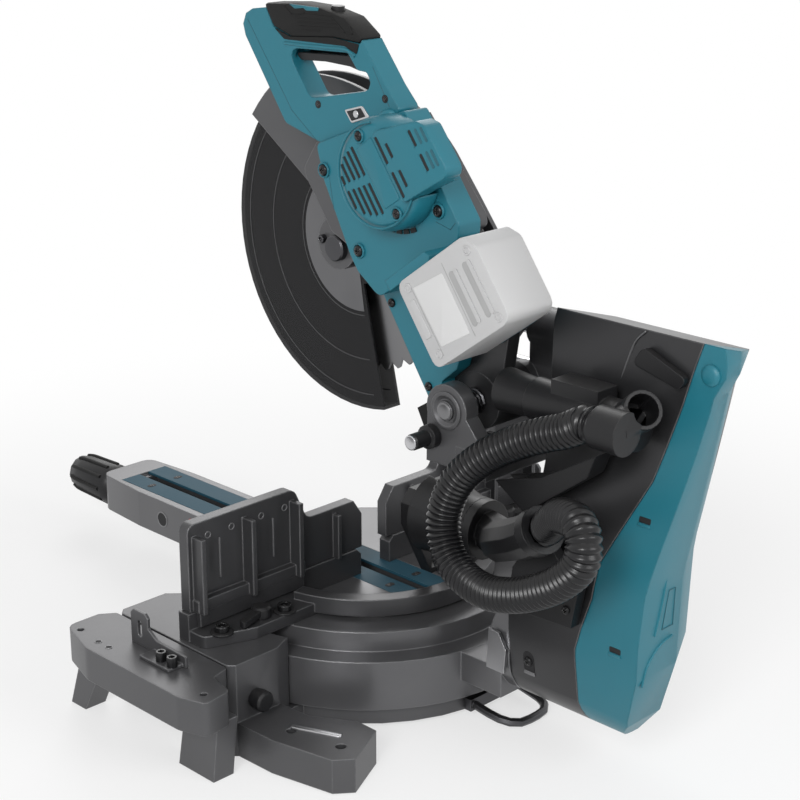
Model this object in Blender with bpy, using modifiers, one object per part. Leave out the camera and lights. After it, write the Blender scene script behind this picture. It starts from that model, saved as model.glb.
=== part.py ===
"""Cordless sliding miter saw: base, turntable, bevel arm with two slide poles, carriage and chopping head.

Everything is drawn in the table frame at rest: operator at -Y, operator's right at +X, floor at Z = 0 and
the turntable's axis on X = Y = 0. Flat shapes of the head are drawn in its own plane, with u toward the
rear and up and v toward the handle, and the head's empty turns that plane by HEAD_RAISE about the pivot.
"""

import math

import bmesh
import bpy
from mathutils import Matrix, Vector

# Fits
GAP = 0.0003
RUN = 0.0003

# Table and base
TABLE_SHIFT_Y = 0.0355
TABLE_Z = 0.092
TABLE_R = 0.156
DRUM_R = 0.178
DRUM_LOW = 0.0225
DRUM_TOP = 0.072
BASE_BORE_R = 0.181
BASE_HALF_X = 0.245
BASE_FRONT = -0.092
BASE_REAR = 0.075
LEG_TOP = 0.034
ROD_R = 0.007
ROD_Z = 0.052
ROD_FRONT_Y = -0.055
ROD_REAR_Y = 0.035
ROD_IN_X = 0.184
WING_SLAB_LOW = ROD_Z + ROD_R + GAP
WING_IN_X = BASE_HALF_X + 0.003
WING_OUT_X = WING_IN_X + 0.065
STOP_X = WING_IN_X + 0.0235
STOP_THICK = 0.003

# Fence
FENCE_FRONT = -0.004
FENCE_LOW_TOP = 0.120
FENCE_LOW_BACK = 0.010
FENCE_TOP = 0.206
FENCE_INNER_TOP = 0.172
FENCE_BACK = 0.008
BRIDGE_IN_R = 0.113
BRIDGE_OUT_R = 0.128
BRIDGE_TOP = 0.112
LEVER_X = 0.172
LEVER_Y = 0.033

# Turntable
ARM_HALF = 0.040
ARM_FRONT = -0.405
ARM_LOW = 0.050
KERF_HALF = 0.031
KERF_FRONT = -0.372
KERF_REAR = 0.098
KERF_THICK = 0.003
KERF_SLOT = 0.0065
KNOB_Z = 0.062
KNOB_R = 0.024
KNOB_END = -0.500
FLANGE_R = 0.052
FLANGE_FRONT = 0.210
FLANGE_BACK = 0.236
BEVEL_SHAFT_R = 0.012

# Bevel arm
BEVEL_FRONT = 0.238
POLE_R = 0.010
POLE_X = -0.048
POLE_LOW_Z = 0.328
POLE_HIGH_Z = 0.372
POLE_FRONT = -0.165
POLE_BACK = 0.282
NOZZLE_Z = 0.178
NOZZLE_R = 0.029
NOZZLE_WALL = 0.003
PORT_R = 0.0195
PORT_WALL = 0.005

# Hose
HOSE_R = 0.0155
HOSE_VALLEY = 0.0022
HOSE_BORE_R = 0.011
HOSE_PITCH = 0.0054

# Carriage and head
PIVOT_Y = 0.174
PIVOT_Z = 0.317
PIVOT_SHAFT_R = 0.009
HUB_R = 0.027
HUB_LEFT = -0.0195
HUB_RIGHT = 0.032
SPRING_CURLS = 4
SPRING_POINTS = 10
SPRING_WIRE_R = 0.0018
SPRING_PITCH = 0.0046
SPRING_R = PIVOT_SHAFT_R + SPRING_WIRE_R + 2 * GAP
SPRING_LEFT = HUB_RIGHT + SPRING_WIRE_R + 2 * GAP
EAR_R = 0.024
EAR_IN = 0.056
EAR_OUT = 0.072
LEFT_EAR_IN = -0.020
LEFT_EAR_OUT = -0.032
BEARING_R = 0.019
BEARING_FRONT = 0.178
BEARING_BACK = 0.2495
HEAD_RAISE = math.radians(36)
BLADE_U = -0.0755
BLADE_V = 0.1975
BLADE_R = 0.130
BLADE_HALF = 0.0013
BLADE_TEETH = 48
BORE_R = 0.0125
CASE_R = 0.1745
CASE_REAR_R = 0.141
CASE_HALF = 0.016
CASE_WALL = 0.0045
GUARD_R = 0.1675
GUARD_HALF = 0.011
GUARD_WALL = 0.0025
BOSS_R = 0.0215
ARBOR_R = 0.008
GEAR_RIGHT = 0.050
MOTOR_U = 0.078
MOTOR_V = 0.1995
MOTOR_R = 0.050
SHELL_RIGHT = 0.078
MOTOR_DEEP = 0.027
BOX_STEP = 0.0905
BOX_RIGHT = 0.110
HANDLE_LEFT = 0.048
HANDLE_RIGHT = 0.072
TRIGGER_LEFT = 0.054
TRIGGER_RIGHT = 0.066
BATTERY_LEFT = 0.062
BATTERY_RIGHT = 0.118
DUCT_X = 0.048
DUCT_R = 0.019
MOUTH_R = 0.0165

TURN = {
    "X": Matrix(((0, 0, 1), (1, 0, 0), (0, 1, 0))).to_4x4(),
    "Y": Matrix(((1, 0, 0), (0, 0, -1), (0, 1, 0))).to_4x4(),
    "Z": Matrix.Identity(4),
}

parts = None
cutters = None
fresh = []
origin = {}


def start_scene():
    """Clears the scene and makes the two collections."""
    global parts, cutters
    for old in list(bpy.data.objects):
        bpy.data.objects.remove(old, do_unlink=True)
    bpy.context.scene.unit_settings.system = "METRIC"
    parts = bpy.data.collections.new("sliding_miter_saw")
    cutters = bpy.data.collections.new("cutters")
    for group in (parts, cutters):
        bpy.context.scene.collection.children.link(group)
    cutters.hide_render = True


def material(name, colour, roughness, metallic=0.0):
    made = bpy.data.materials.new(name)
    made.use_nodes = True
    shader = made.node_tree.nodes["Principled BSDF"]
    shader.inputs["Base Color"].default_value = (*colour, 1)
    shader.inputs["Roughness"].default_value = roughness
    shader.inputs["Metallic"].default_value = metallic
    return made


def axis(name, parent, at, turn=None):
    """An empty on a joint's axis, placed in the frame that its pieces are drawn in."""
    made = bpy.data.objects.new(name, None)
    made.empty_display_size = 0.03
    parts.objects.link(made)
    made.parent = parent
    start = Vector(origin[parent.name]) if parent else Vector((0, 0, 0))
    made.location = Vector(at) - start
    origin[name] = tuple(at)
    if turn is not None:
        made.rotation_euler = turn
    return made


def keep(mesh, name):
    made = bpy.data.objects.new(name, mesh)
    parts.objects.link(made)
    fresh.append(made)
    return made


def from_bmesh(work, name, matrix):
    bmesh.ops.transform(work, matrix=matrix, verts=work.verts)
    bmesh.ops.recalc_face_normals(work, faces=work.faces)
    mesh = bpy.data.meshes.new(name)
    work.to_mesh(mesh)
    work.free()
    return keep(mesh, name)


def from_guide(data, name, matrix, modifiers=()):
    """The solid that a curve or a profile makes, as a mesh whose seams are welded."""
    guide = bpy.data.objects.new(name + "_guide", data)
    bpy.context.scene.collection.objects.link(guide)
    for kind, settings in modifiers:
        added = guide.modifiers.new(kind, kind)
        for key, value in settings.items():
            setattr(added, key, value)
    bpy.context.view_layer.update()
    graph = bpy.context.evaluated_depsgraph_get()
    mesh = bpy.data.meshes.new_from_object(guide.evaluated_get(graph))
    bpy.data.objects.remove(guide, do_unlink=True)
    work = bmesh.new()
    work.from_mesh(mesh)
    bpy.data.meshes.remove(mesh)
    bmesh.ops.remove_doubles(work, verts=work.verts, dist=1e-6)
    return from_bmesh(work, name, matrix)


def block(name, low, high):
    work = bmesh.new()
    bmesh.ops.create_cube(work, size=1)
    low = Vector(low)
    high = Vector(high)
    size = Matrix.Diagonal((*(high - low), 1))
    return from_bmesh(work, name, Matrix.Translation((low + high) / 2) @ size)


def rod(name, radius, start, end, sides=32, end_radius=None):
    """A cylinder or cone between two points."""
    start = Vector(start)
    along = Vector(end) - start
    work = bmesh.new()
    bmesh.ops.create_cone(
        work,
        cap_ends=True,
        segments=sides,
        radius1=radius,
        radius2=radius if end_radius is None else end_radius,
        depth=along.length,
    )
    facing = along.to_track_quat("Z", "Y").to_matrix().to_4x4()
    return from_bmesh(work, name, Matrix.Translation(start + along / 2) @ facing)


def plate(name, outline, low, high, normal="X", holes=()):
    """A flat outline given thickness from low to high along its normal."""
    curve = bpy.data.curves.new(name, "CURVE")
    curve.dimensions = "2D"
    curve.fill_mode = "BOTH"
    curve.extrude = (high - low) / 2
    for loop in (outline, *holes):
        spline = curve.splines.new("POLY")
        spline.points.add(len(loop) - 1)
        for point, (a, b) in zip(spline.points, loop):
            point.co = (a, b, 0, 1)
        spline.use_cyclic_u = True
    middle = (low + high) / 2
    if normal == "Y":
        middle = -middle
    return from_guide(curve, name, TURN[normal] @ Matrix.Translation((0, 0, middle)))


def turned(name, profile, start, end, steps=32):
    """A profile of (distance along the axis, radius) spun about the line from start to end."""
    mesh = bpy.data.meshes.new(name)
    points = [(radius, 0, height) for height, radius in reversed(profile)]
    mesh.from_pydata(points, [(i, i + 1) for i in range(len(points) - 1)], [])
    spin = {
        "axis": "Z",
        "steps": steps,
        "render_steps": steps,
        "use_merge_vertices": True,
        "merge_threshold": 0.00001,
    }
    along = Vector(end) - Vector(start)
    facing = along.to_track_quat("Z", "Y").to_matrix().to_4x4()
    return from_guide(mesh, name, Matrix.Translation(start) @ facing, [("SCREW", spin)])


def pipe(name, route, radius, resolution=4, radii=None):
    curve = bpy.data.curves.new(name, "CURVE")
    curve.dimensions = "3D"
    curve.bevel_depth = radius
    curve.bevel_resolution = resolution
    curve.use_fill_caps = True
    spline = curve.splines.new("POLY")
    spline.points.add(len(route) - 1)
    for index, place in enumerate(route):
        spline.points[index].co = (*place, 1)
        spline.points[index].radius = 1 if radii is None else radii[index]
    return from_guide(curve, name, Matrix.Identity(4))


def combine(target, operation, tools):
    for tool in tools:
        parts.objects.unlink(tool)
        cutters.objects.link(tool)
        tool.hide_render = True
        tool.display_type = "WIRE"
        change = target.modifiers.new(tool.name, "BOOLEAN")
        change.operation = operation
        change.solver = "EXACT"
        change.object = tool
    return target


def fuse(target, *tools):
    return combine(target, "UNION", tools)


def cut(target, *tools):
    return combine(target, "DIFFERENCE", tools)


def within(target, *tools):
    return combine(target, "INTERSECT", tools)


def soften(target, width, segments=1, angle=35):
    edge = target.modifiers.new("edges", "BEVEL")
    edge.width = width
    edge.segments = segments
    edge.limit_method = "ANGLE"
    edge.angle_limit = math.radians(angle)
    edge.harden_normals = False
    return target


def finish(target, paint):
    target.data.materials.append(paint)
    return target


def attach(frame, at_rest=False):
    """Parents every piece drawn since the last call, turning a piece drawn at rest into the head."""
    for piece in fresh:
        piece.parent = frame
        if at_rest:
            turned_back = Matrix.Rotation(-HEAD_RAISE, 4, "X")
            piece.matrix_basis = turned_back @ Matrix.Translation((0, -PIVOT_Y, -PIVOT_Z))
        else:
            piece.location = -Vector(origin[frame.name])
    fresh.clear()


def arc(centre, radius, start, end, steps):
    """Points on an arc, angles in degrees from the first axis toward the second."""
    found = []
    for index in range(steps + 1):
        angle = math.radians(start + (end - start) * index / steps)
        found.append((centre[0] + radius * math.cos(angle), centre[1] + radius * math.sin(angle)))
    return found


def rounded(corners, steps=3):
    """A closed outline from (a, b, radius) corners."""
    found = []
    count = len(corners)
    for index, (a, b, radius) in enumerate(corners):
        here = Vector((a, b))
        before = Vector(corners[index - 1][:2])
        after = Vector(corners[(index + 1) % count][:2])
        if radius <= 0:
            found.append((a, b))
            continue
        back = (before - here).normalized()
        ahead = (after - here).normalized()
        half = back.angle(ahead) / 2
        reach = radius / math.tan(half)
        middle = here + (back + ahead).normalized() * radius / math.sin(half)
        first = here + back * reach - middle
        last = here + ahead * reach - middle
        sweep = first.angle_signed(last)
        for step in range(steps + 1):
            spun = Matrix.Rotation(-sweep * step / steps, 2) @ first
            found.append(tuple(middle + spun))
    return found


def grown(outline, distance):
    """The outline moved out by a distance along each corner's bisector."""
    area = sum(p[0] * q[1] - q[0] * p[1] for p, q in zip(outline, outline[1:] + outline[:1]))
    side = 1 if area > 0 else -1
    found = []
    for index, here in enumerate(outline):
        before = Vector(outline[index - 1])
        after = Vector(outline[(index + 1) % len(outline)])
        here = Vector(here)
        first = (here - before).normalized()
        second = (after - here).normalized()
        out = Vector((first.y + second.y, -first.x - second.x)).normalized() * side
        spread = max(0.5, abs(out.dot(Vector((first.y, -first.x)))))
        found.append(tuple(here + out * distance / spread))
    return found


def mirrored(outline):
    return [(-a, b) for a, b in reversed(outline)]


def smooth_route(corners, spacing):
    """Even steps along a smooth curve through the corners."""
    dense = []
    count = len(corners)
    places = [Vector(corner) for corner in corners]
    for index in range(count - 1):
        p1 = places[index]
        p2 = places[index + 1]
        p0 = places[index - 1] if index else p1 - (p2 - p1)
        p3 = places[index + 2] if index + 2 < count else p2 + (p2 - p1)
        for step in range(24):
            t = step / 24
            a = 2 * p1
            b = (p2 - p0) * t
            c = (2 * p0 - 5 * p1 + 4 * p2 - p3) * t * t
            d = (3 * p1 - p0 - 3 * p2 + p3) * t * t * t
            dense.append((a + b + c + d) / 2)
    dense.append(places[-1])
    lengths = [0.0]
    for first, second in zip(dense, dense[1:]):
        lengths.append(lengths[-1] + (second - first).length)
    steps = max(2, round(lengths[-1] / spacing))
    route = []
    at = 0
    for step in range(steps + 1):
        want = lengths[-1] * step / steps
        while at < len(dense) - 2 and lengths[at + 1] < want:
            at += 1
        span = lengths[at + 1] - lengths[at]
        route.append(dense[at].lerp(dense[at + 1], (want - lengths[at]) / span))
    return route


def side_block(side):
    """One side block of the base, as an outline seen from above."""
    shape = [
        (0.150, -0.030),
        (0.165, -0.070),
        (0.188, BASE_FRONT),
        (BASE_HALF_X - 0.006, BASE_FRONT),
        (BASE_HALF_X, BASE_FRONT + 0.006),
        (BASE_HALF_X, BASE_REAR - 0.006),
        (BASE_HALF_X - 0.006, BASE_REAR),
        (0.190, BASE_REAR),
        (0.165, 0.064),
        (0.150, 0.040),
    ]
    return shape if side > 0 else mirrored(shape)


def make_base(frame, paint):
    slab = block("base_casting", (-0.200, -0.088, 0.004), (0.200, 0.070, DRUM_LOW - 0.002))
    fuse(slab, rod("base_disc", 0.170, (0, 0, 0.0045), (0, 0, DRUM_LOW - 0.0025), 36))
    fuse(slab, rod("miter_pin", 0.010, (0, 0, 0.010), (0, 0, 0.048), 16))
    leg = [
        (0.188, 0.050),
        (0.240, 0.050),
        (0.238, 0.120),
        (0.224, 0.184),
        (0.208, 0.197),
        (0.160, 0.174),
        (0.160, 0.150),
        (0.184, 0.110),
    ]
    for side in (1, -1):
        word = "right" if side > 0 else "left"
        fuse(slab, plate(word + "_block", side_block(side), 0, TABLE_Z, "Z"))
        shape = leg if side > 0 else mirrored(leg)
        fuse(slab, plate(word + "_leg", shape, 0.0005, LEG_TOP, "Z"))
    cut(slab, turned_ring("drum_room", BASE_BORE_R, 0.011, DRUM_LOW - 0.002, TABLE_Z + 0.01))
    for side in (1, -1):
        word = "right" if side > 0 else "left"
        pocket = sorted((side * 0.196, side * 0.237))
        low = (pocket[0], -0.080, -0.01)
        cut(slab, block(word + "_pocket", low, (pocket[1], 0.062, 0.083)))
        for where, y in (("front", ROD_FRONT_Y), ("rear", ROD_REAR_Y)):
            ends = (side * 0.170, y, ROD_Z), (side * 0.260, y, ROD_Z)
            cut(slab, rod(f"{word}_{where}_rod_bore", ROD_R + RUN, *ends, 14))
        screw = (side * 0.217, 0.055, ROD_Z), (side * 0.217, 0.090, ROD_Z)
        cut(slab, rod(word + "_screw_bore", 0.0038, *screw, 12))
        for hole, y in ((0.202, 0.172), (0.214, 0.120)):
            ends = (side * hole, y, -0.01), (side * hole, y, 0.05)
            cut(slab, rod(f"{word}_leg_hole_{y}", 0.005, *ends, 12))
    finish(slab, paint["cast"])
    stand = [
        (0.030, 0.1735, 0.012),
        (0.030, 0.192, 0.009),
        (0.027, 0.212, 0.0065),
        (0.016, 0.222, 0.0048),
        (0, 0.2235, 0.0048),
        (-0.016, 0.222, 0.0048),
        (-0.027, 0.212, 0.0065),
        (-0.030, 0.192, 0.009),
        (-0.030, 0.1735, 0.012),
    ]
    foot = block("stand_foot", (-0.036, 0.1675, 0.006), (0.036, 0.176, 0.018))
    fuse(foot, pipe("stand_wire", smooth_route(stand, 0.011), 0.0042, 2))
    foot.name = "rear_stand"
    finish(foot, paint["dark_steel"])
    cut(slab, block("stand_seat", (-0.0365, 0.1672, 0.0), (0.0365, 0.19, 0.03)))
    pointer = [polar(TABLE_R + 0.0244, -24), polar(TABLE_R + 0.0244, -17), polar(TABLE_R + 0.009, -20.5)]
    finish(plate("angle_pointer", pointer, 0.0755, 0.0785, "Z"), paint["orange"])
    attach(frame)


def polar(radius, degrees):
    angle = math.radians(degrees)
    return radius * math.cos(angle), radius * math.sin(angle)


def turned_ring(name, outer, inner, low, high):
    profile = [(0, inner), (0, outer), (high - low, outer), (high - low, inner), (0, inner)]
    return turned(name, profile, (0, 0, low), (0, 0, high), 36)


def make_fence(frame, paint):
    shape = [*arc((0, 0), BRIDGE_OUT_R, 12, 168, 22), *arc((0, 0), BRIDGE_IN_R, 168, 12, 22)]
    fence = plate("guide_fence", shape, TABLE_Z + 0.003, BRIDGE_TOP, "Z")
    low = TABLE_Z + GAP
    for side in (1, -1):
        word = "right" if side > 0 else "left"
        face = [(0.020, low), (0.240, low), (0.240, FENCE_LOW_TOP), (0.026, FENCE_LOW_TOP), (0.020, 0.114)]
        shape = face if side > 0 else mirrored(face)
        fuse(fence, plate(word + "_face", shape, FENCE_FRONT, FENCE_LOW_BACK, "Y"))
        foot = rounded(
            [
                (0.106, 0, 0),
                (0.239, 0, 0),
                (0.239, 0.030, 0.008),
                (0.190, 0.048, 0.01),
                (0.106, 0.048, 0.004),
            ]
        )
        shape = foot if side > 0 else mirrored(foot)
        fuse(fence, plate(word + "_foot", shape, low, 0.104, "Z"))
    finish(fence, paint["cast"])
    attach(frame)


def make_side(frame, paint, side, axes):
    """The upper fence, clamp lever, wing and thumb screw of one side."""
    word = "right" if side > 0 else "left"

    def seen(outline):
        return outline if side > 0 else mirrored(outline)

    def span(a, b):
        return sorted((side * a, side * b))

    low = FENCE_LOW_TOP + GAP
    face = rounded(
        [
            (0.017, low, 0),
            (0.236, low, 0),
            (0.236, FENCE_TOP, 0.008),
            (0.106, FENCE_TOP, 0.010),
            (0.090, FENCE_INNER_TOP, 0.010),
            (0.028, FENCE_INNER_TOP, 0),
            (0.017, FENCE_INNER_TOP - 0.016, 0),
        ]
    )
    fence = plate(word + "_upper_fence", seen(face), FENCE_FRONT, FENCE_BACK, "Y")
    ribs = [(0.107, 0.112, 0.196), (0.166, 0.171, 0.196), (0.226, 0.231, 0.194), (0.052, 0.056, 0.166)]
    for index, (a, b, top) in enumerate(ribs):
        a, b = span(a, b)
        back = 0.022 if index < 3 else 0.016
        fuse(fence, block(f"{word}_rib_{index}", (a, FENCE_BACK - 0.001, low), (b, back, top)))
    a, b = span(0.100, 0.232)
    fuse(fence, block(word + "_ledge", (a, 0.006, low + 0.0002), (b, 0.0158, 0.132)))
    a, b = span(0.102, 0.230)
    fuse(fence, block(word + "_tongue", (a, FENCE_LOW_BACK + GAP, 0.106), (b, 0.0155, 0.126)))
    finish(fence, paint["cast"])
    attach(axes["fence"])

    at = (side * LEVER_X, LEVER_Y)
    profile = [(0, 0), (0, 0.0095), (0.009, 0.0095), (0.011, 0.0075), (0.011, 0)]
    lever = turned(word + "_fence_lever", profile, (*at, 0.104 + GAP), (*at, 0.2), 16)
    wing = rounded([(0, -0.005, 0), (0.034, -0.004, 0.003), (0.034, 0.004, 0.003), (0, 0.005, 0)])
    blade = [(at[0] + side * a, at[1] + b + abs(a) * 0.35) for a, b in wing]
    fuse(lever, plate(word + "_lever_wing", blade, 0.1075, 0.1135, "Z"))
    finish(lever, paint["black"])
    attach(axes["lever"])

    slab = rounded(
        [
            (WING_IN_X, -0.090, 0.004),
            (WING_IN_X + 0.014, -0.100, 0.004),
            (WING_IN_X + 0.050, -0.100, 0.012),
            (WING_OUT_X, -0.050, 0.03),
            (WING_OUT_X, 0.084, 0.02),
            (WING_IN_X + 0.056, 0.112, 0.006),
            (WING_IN_X + 0.026, 0.108, 0.006),
            (WING_IN_X + 0.020, 0.078, 0.006),
            (WING_IN_X, 0.074, 0.004),
        ]
    )
    ends = [(side * (WING_IN_X + 0.046), -0.084), (side * (WING_IN_X + 0.046), 0.097)]
    bores = [arc(end, 0.0034, 0, 330, 11) for end in ends]
    wing = plate(word + "_wing", seen(slab), WING_SLAB_LOW, TABLE_Z, "Z", bores)
    legs = {
        "front": [(-0.120, 0), (-0.097, 0), (-0.064, 0.061), (-0.098, 0.061)],
        "rear": [(0.046, 0), (0.095, 0), (0.103, 0.061), (0.058, 0.061)],
    }
    for where, outline in legs.items():
        a, b = span(WING_IN_X + 0.014, WING_IN_X + 0.037)
        fuse(wing, plate(f"{word}_{where}_foot", outline, a, b, "X"))
    finish(wing, paint["cast"])
    route = [
        (ROD_IN_X, ROD_FRONT_Y, ROD_Z),
        (0.225, ROD_FRONT_Y, ROD_Z),
        (0.246, ROD_FRONT_Y, ROD_Z),
    ]
    bend = [(*point, ROD_Z) for point in arc((0.246, ROD_FRONT_Y + 0.012), 0.012, -90, 0, 4)]
    back = [(*point, ROD_Z) for point in arc((0.246, ROD_REAR_Y - 0.012), 0.012, 0, 90, 4)]
    route = [route[0], *bend, *back, (ROD_IN_X, ROD_REAR_Y, ROD_Z)]
    route = [(side * x, y, z) for x, y, z in route]
    finish(pipe(word + "_wing_rod", route, ROD_R, 2), paint["zinc"])
    low = TABLE_Z + GAP
    tall = [
        (-0.031, low),
        (0.048, low),
        (0.048, 0.103),
        (0.006, 0.1045),
        (-0.006, 0.112),
        (-0.006, 0.122),
        (-0.010, 0.126),
        (-0.027, 0.126),
        (-0.031, 0.122),
    ]
    ends = [(-0.021, 0.101), (-0.015, 0.101), (-0.015, 0.117), (-0.021, 0.117)]
    slot = rounded([(y, z, 0.0025) for y, z in ends])
    a, b = span(STOP_X, STOP_X + STOP_THICK)
    stop = plate(word + "_stop_plate", tall, a, b, "X", [slot])
    a, b = span(STOP_X + 0.001, STOP_X + 0.0195)
    fuse(stop, block(word + "_stop_foot", (a, 0.002, low + 0.0001), (b, 0.044, low + 0.003)))
    finish(stop, paint["zinc"])
    attach(axes["wing"])

    at = (side * 0.217, ROD_Z)
    start = ROD_REAR_Y + ROD_R + GAP
    head = BASE_REAR + GAP - start
    profile = [
        (0, 0),
        (0, 0.0035),
        (head, 0.0035),
        (head, 0.009),
        (head + 0.004, 0.010),
        (head + 0.013, 0.010),
        (head + 0.015, 0.008),
        (head + 0.015, 0),
    ]
    screw = turned(word + "_thumb_screw", profile, (at[0], start, at[1]), (at[0], 0.2, at[1]), 14)
    finish(screw, paint["black"])
    attach(axes["screw"])


def make_turntable(frame, paint, knob_axis, lever_axis):
    table = rod("turntable", DRUM_R, (0, 0, DRUM_LOW), (0, 0, DRUM_TOP), 52)
    fuse(table, rod("table_disc", TABLE_R, (0, 0, DRUM_TOP - 0.004), (0, 0, TABLE_Z), 52))
    front = rounded(
        [
            (-ARM_HALF, -0.130, 0),
            (-ARM_HALF, -0.330, 0.03),
            (-0.034, ARM_FRONT, 0.012),
            (0.034, ARM_FRONT, 0.012),
            (ARM_HALF, -0.330, 0.03),
            (ARM_HALF, -0.130, 0),
        ]
    )
    fuse(table, plate("front_arm", front, ARM_LOW, TABLE_Z - 0.0002, "Z"))
    fuse(table, block("rear_arm", (-0.046, 0.120, 0.042), (0.046, 0.222, 0.0715)))
    flange = (0, FLANGE_FRONT, TABLE_Z), (0, FLANGE_BACK, TABLE_Z)
    fuse(table, rod("bevel_flange", FLANGE_R, *flange, 36))
    seat = TABLE_Z - KERF_THICK - GAP
    cut(table, block("kerf_seat", (-KERF_HALF, KERF_FRONT, seat), (KERF_HALF, KERF_REAR, 0.2)))
    cut(table, block("kerf_groove", (-0.014, KERF_FRONT + 0.008, 0.0705), (0.014, KERF_REAR - 0.004, 0.1)))
    hollow = turned_ring("drum_hollow", 0.166, 0.032, 0.0, 0.058)
    cut(table, hollow)
    cut(table, block("arm_hollow", (-0.033, -0.390, 0.0), (0.033, -0.186, 0.064)))
    cut(table, rod("miter_bore", 0.010 + RUN, (0, 0, 0.0), (0, 0, 0.050), 16))
    cut(table, rod("bevel_bore", BEVEL_SHAFT_R + RUN, (0, 0.19, TABLE_Z), (0, 0.26, TABLE_Z), 16))
    cut(table, rod("knob_bore", 0.006 + RUN, (0, -0.420, KNOB_Z), (0, -0.380, KNOB_Z), 12))
    finish(table, paint["cast_gloss"])
    low = TABLE_Z - KERF_THICK
    edge = KERF_HALF - GAP
    for side, word in ((1, "right"), (-1, "left")):
        shape = [
            (KERF_SLOT, KERF_FRONT + GAP),
            (edge, KERF_FRONT + GAP),
            (edge, KERF_REAR - GAP),
            (KERF_SLOT, KERF_REAR - GAP),
        ]
        shape = shape if side > 0 else mirrored(shape)
        finish(plate(word + "_kerf_board", shape, low, TABLE_Z, "Z"), paint["kerf"])
    head = [
        (0, 0),
        (0, BEVEL_SHAFT_R + 0.006),
        (0.008, BEVEL_SHAFT_R + 0.006),
        (0.008, BEVEL_SHAFT_R),
        (0.098, BEVEL_SHAFT_R),
        (0.098, 0),
    ]
    start = FLANGE_FRONT - 0.008 - GAP
    finish(turned("bevel_shaft", head, (0, start, TABLE_Z), (0, 1, TABLE_Z), 16), paint["steel"])
    stop = [(0.212, 0.074), (0.233, 0.074), (0.235, 0.098), (0.226, 0.1125), (0.214, 0.114)]
    finish(plate("bevel_stop", stop, FLANGE_R + 0.0004, FLANGE_R + 0.0036, "X"), paint["zinc"])
    attach(frame)

    end = ARM_FRONT - GAP - KNOB_END
    profile = [
        (-0.020, 0),
        (-0.020, 0.006),
        (0, 0.006),
        (0, 0.010),
        (0.010, 0.0105),
        (0.016, 0.019),
        (0.024, KNOB_R),
        (end - 0.022, KNOB_R - 0.0015),
        (end - 0.006, KNOB_R - 0.005),
        (end, KNOB_R - 0.011),
        (end, 0),
    ]
    start = (0, ARM_FRONT - GAP, KNOB_Z)
    finish(turned("miter_knob", profile, start, (0, -1, KNOB_Z), 12), paint["black"])
    attach(knob_axis)

    shape = [
        (-0.399, 0.040),
        (-0.392, 0.037),
        (-0.350, 0.041),
        (-0.341, 0.048),
        (-0.342, 0.058),
        (-0.350, 0.058),
        (-0.354, 0.0485),
        (-0.396, 0.0485),
    ]
    lever = plate("miter_lock_lever", shape, -0.011, 0.011, "X")
    fuse(lever, rod("lever_bar", 0.004, (-0.033 + GAP, -0.346, 0.0545), (0.033 - GAP, -0.346, 0.0545), 16))
    finish(lever, paint["black"])
    attach(lever_axis)


ARM_FACE = [
    (0.0555, 0.120),
    (0.0565, 0.150),
    (0.0530, 0.190),
    (0.0450, 0.235),
    (0.0345, 0.280),
    (0.0265, 0.320),
    (0.0205, 0.360),
    (0.0185, 0.400),
    (0.0175, 0.4165),
    (-0.068, 0.3905),
    (-0.074, 0.3840),
    (-0.074, 0.290),
    (-0.069, 0.240),
    (-0.060, 0.180),
    (-0.0555, 0.120),
]
ARM_SEAM = [
    (0.319, 0.030),
    (0.315, 0.075),
    (0.315, 0.128),
    (0.330, 0.180),
    (0.333, 0.212),
    (0.372, 0.293),
    (0.384, 0.338),
    (0.397, 0.388),
    (0.4095, 0.430),
]
REAR_SLOPE = 0.54
COVER_BACK = [
    (0.4230, 0.430),
    (0.4290, 0.404),
    (0.4290, 0.392),
    (0.4195, 0.374),
    (0.4120, 0.336),
    (0.3865, 0.212),
    (0.3845, 0.198),
    (0.3820, 0.119),
    (0.3680, 0.068),
    (0.3420, 0.036),
    (0.3330, 0.030),
]


def arm_front_view(shrink=0.0):
    shape = [*arc((0, TABLE_Z), FLANGE_R, 200, 340, 14), *ARM_FACE]
    return grown(shape, -shrink) if shrink else shape


def rear_slope(name, inward=0.0):
    """What lies behind the cover's back where, left of the middle, it slopes forward."""
    left = -0.1
    shape = [*[(y + GAP - inward, z) for y, z in COVER_BACK], (0.6, 0.0), (0.6, 0.5)]
    shape[0] = (shape[0][0], 0.5)
    shape[-3] = (shape[-3][0], 0.0)
    slope = plate(name, shape, left, 0, "X")
    for vertex in slope.data.vertices:
        if vertex.co.x < left / 2:
            vertex.co.y += left * REAR_SLOPE
    return slope


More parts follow.
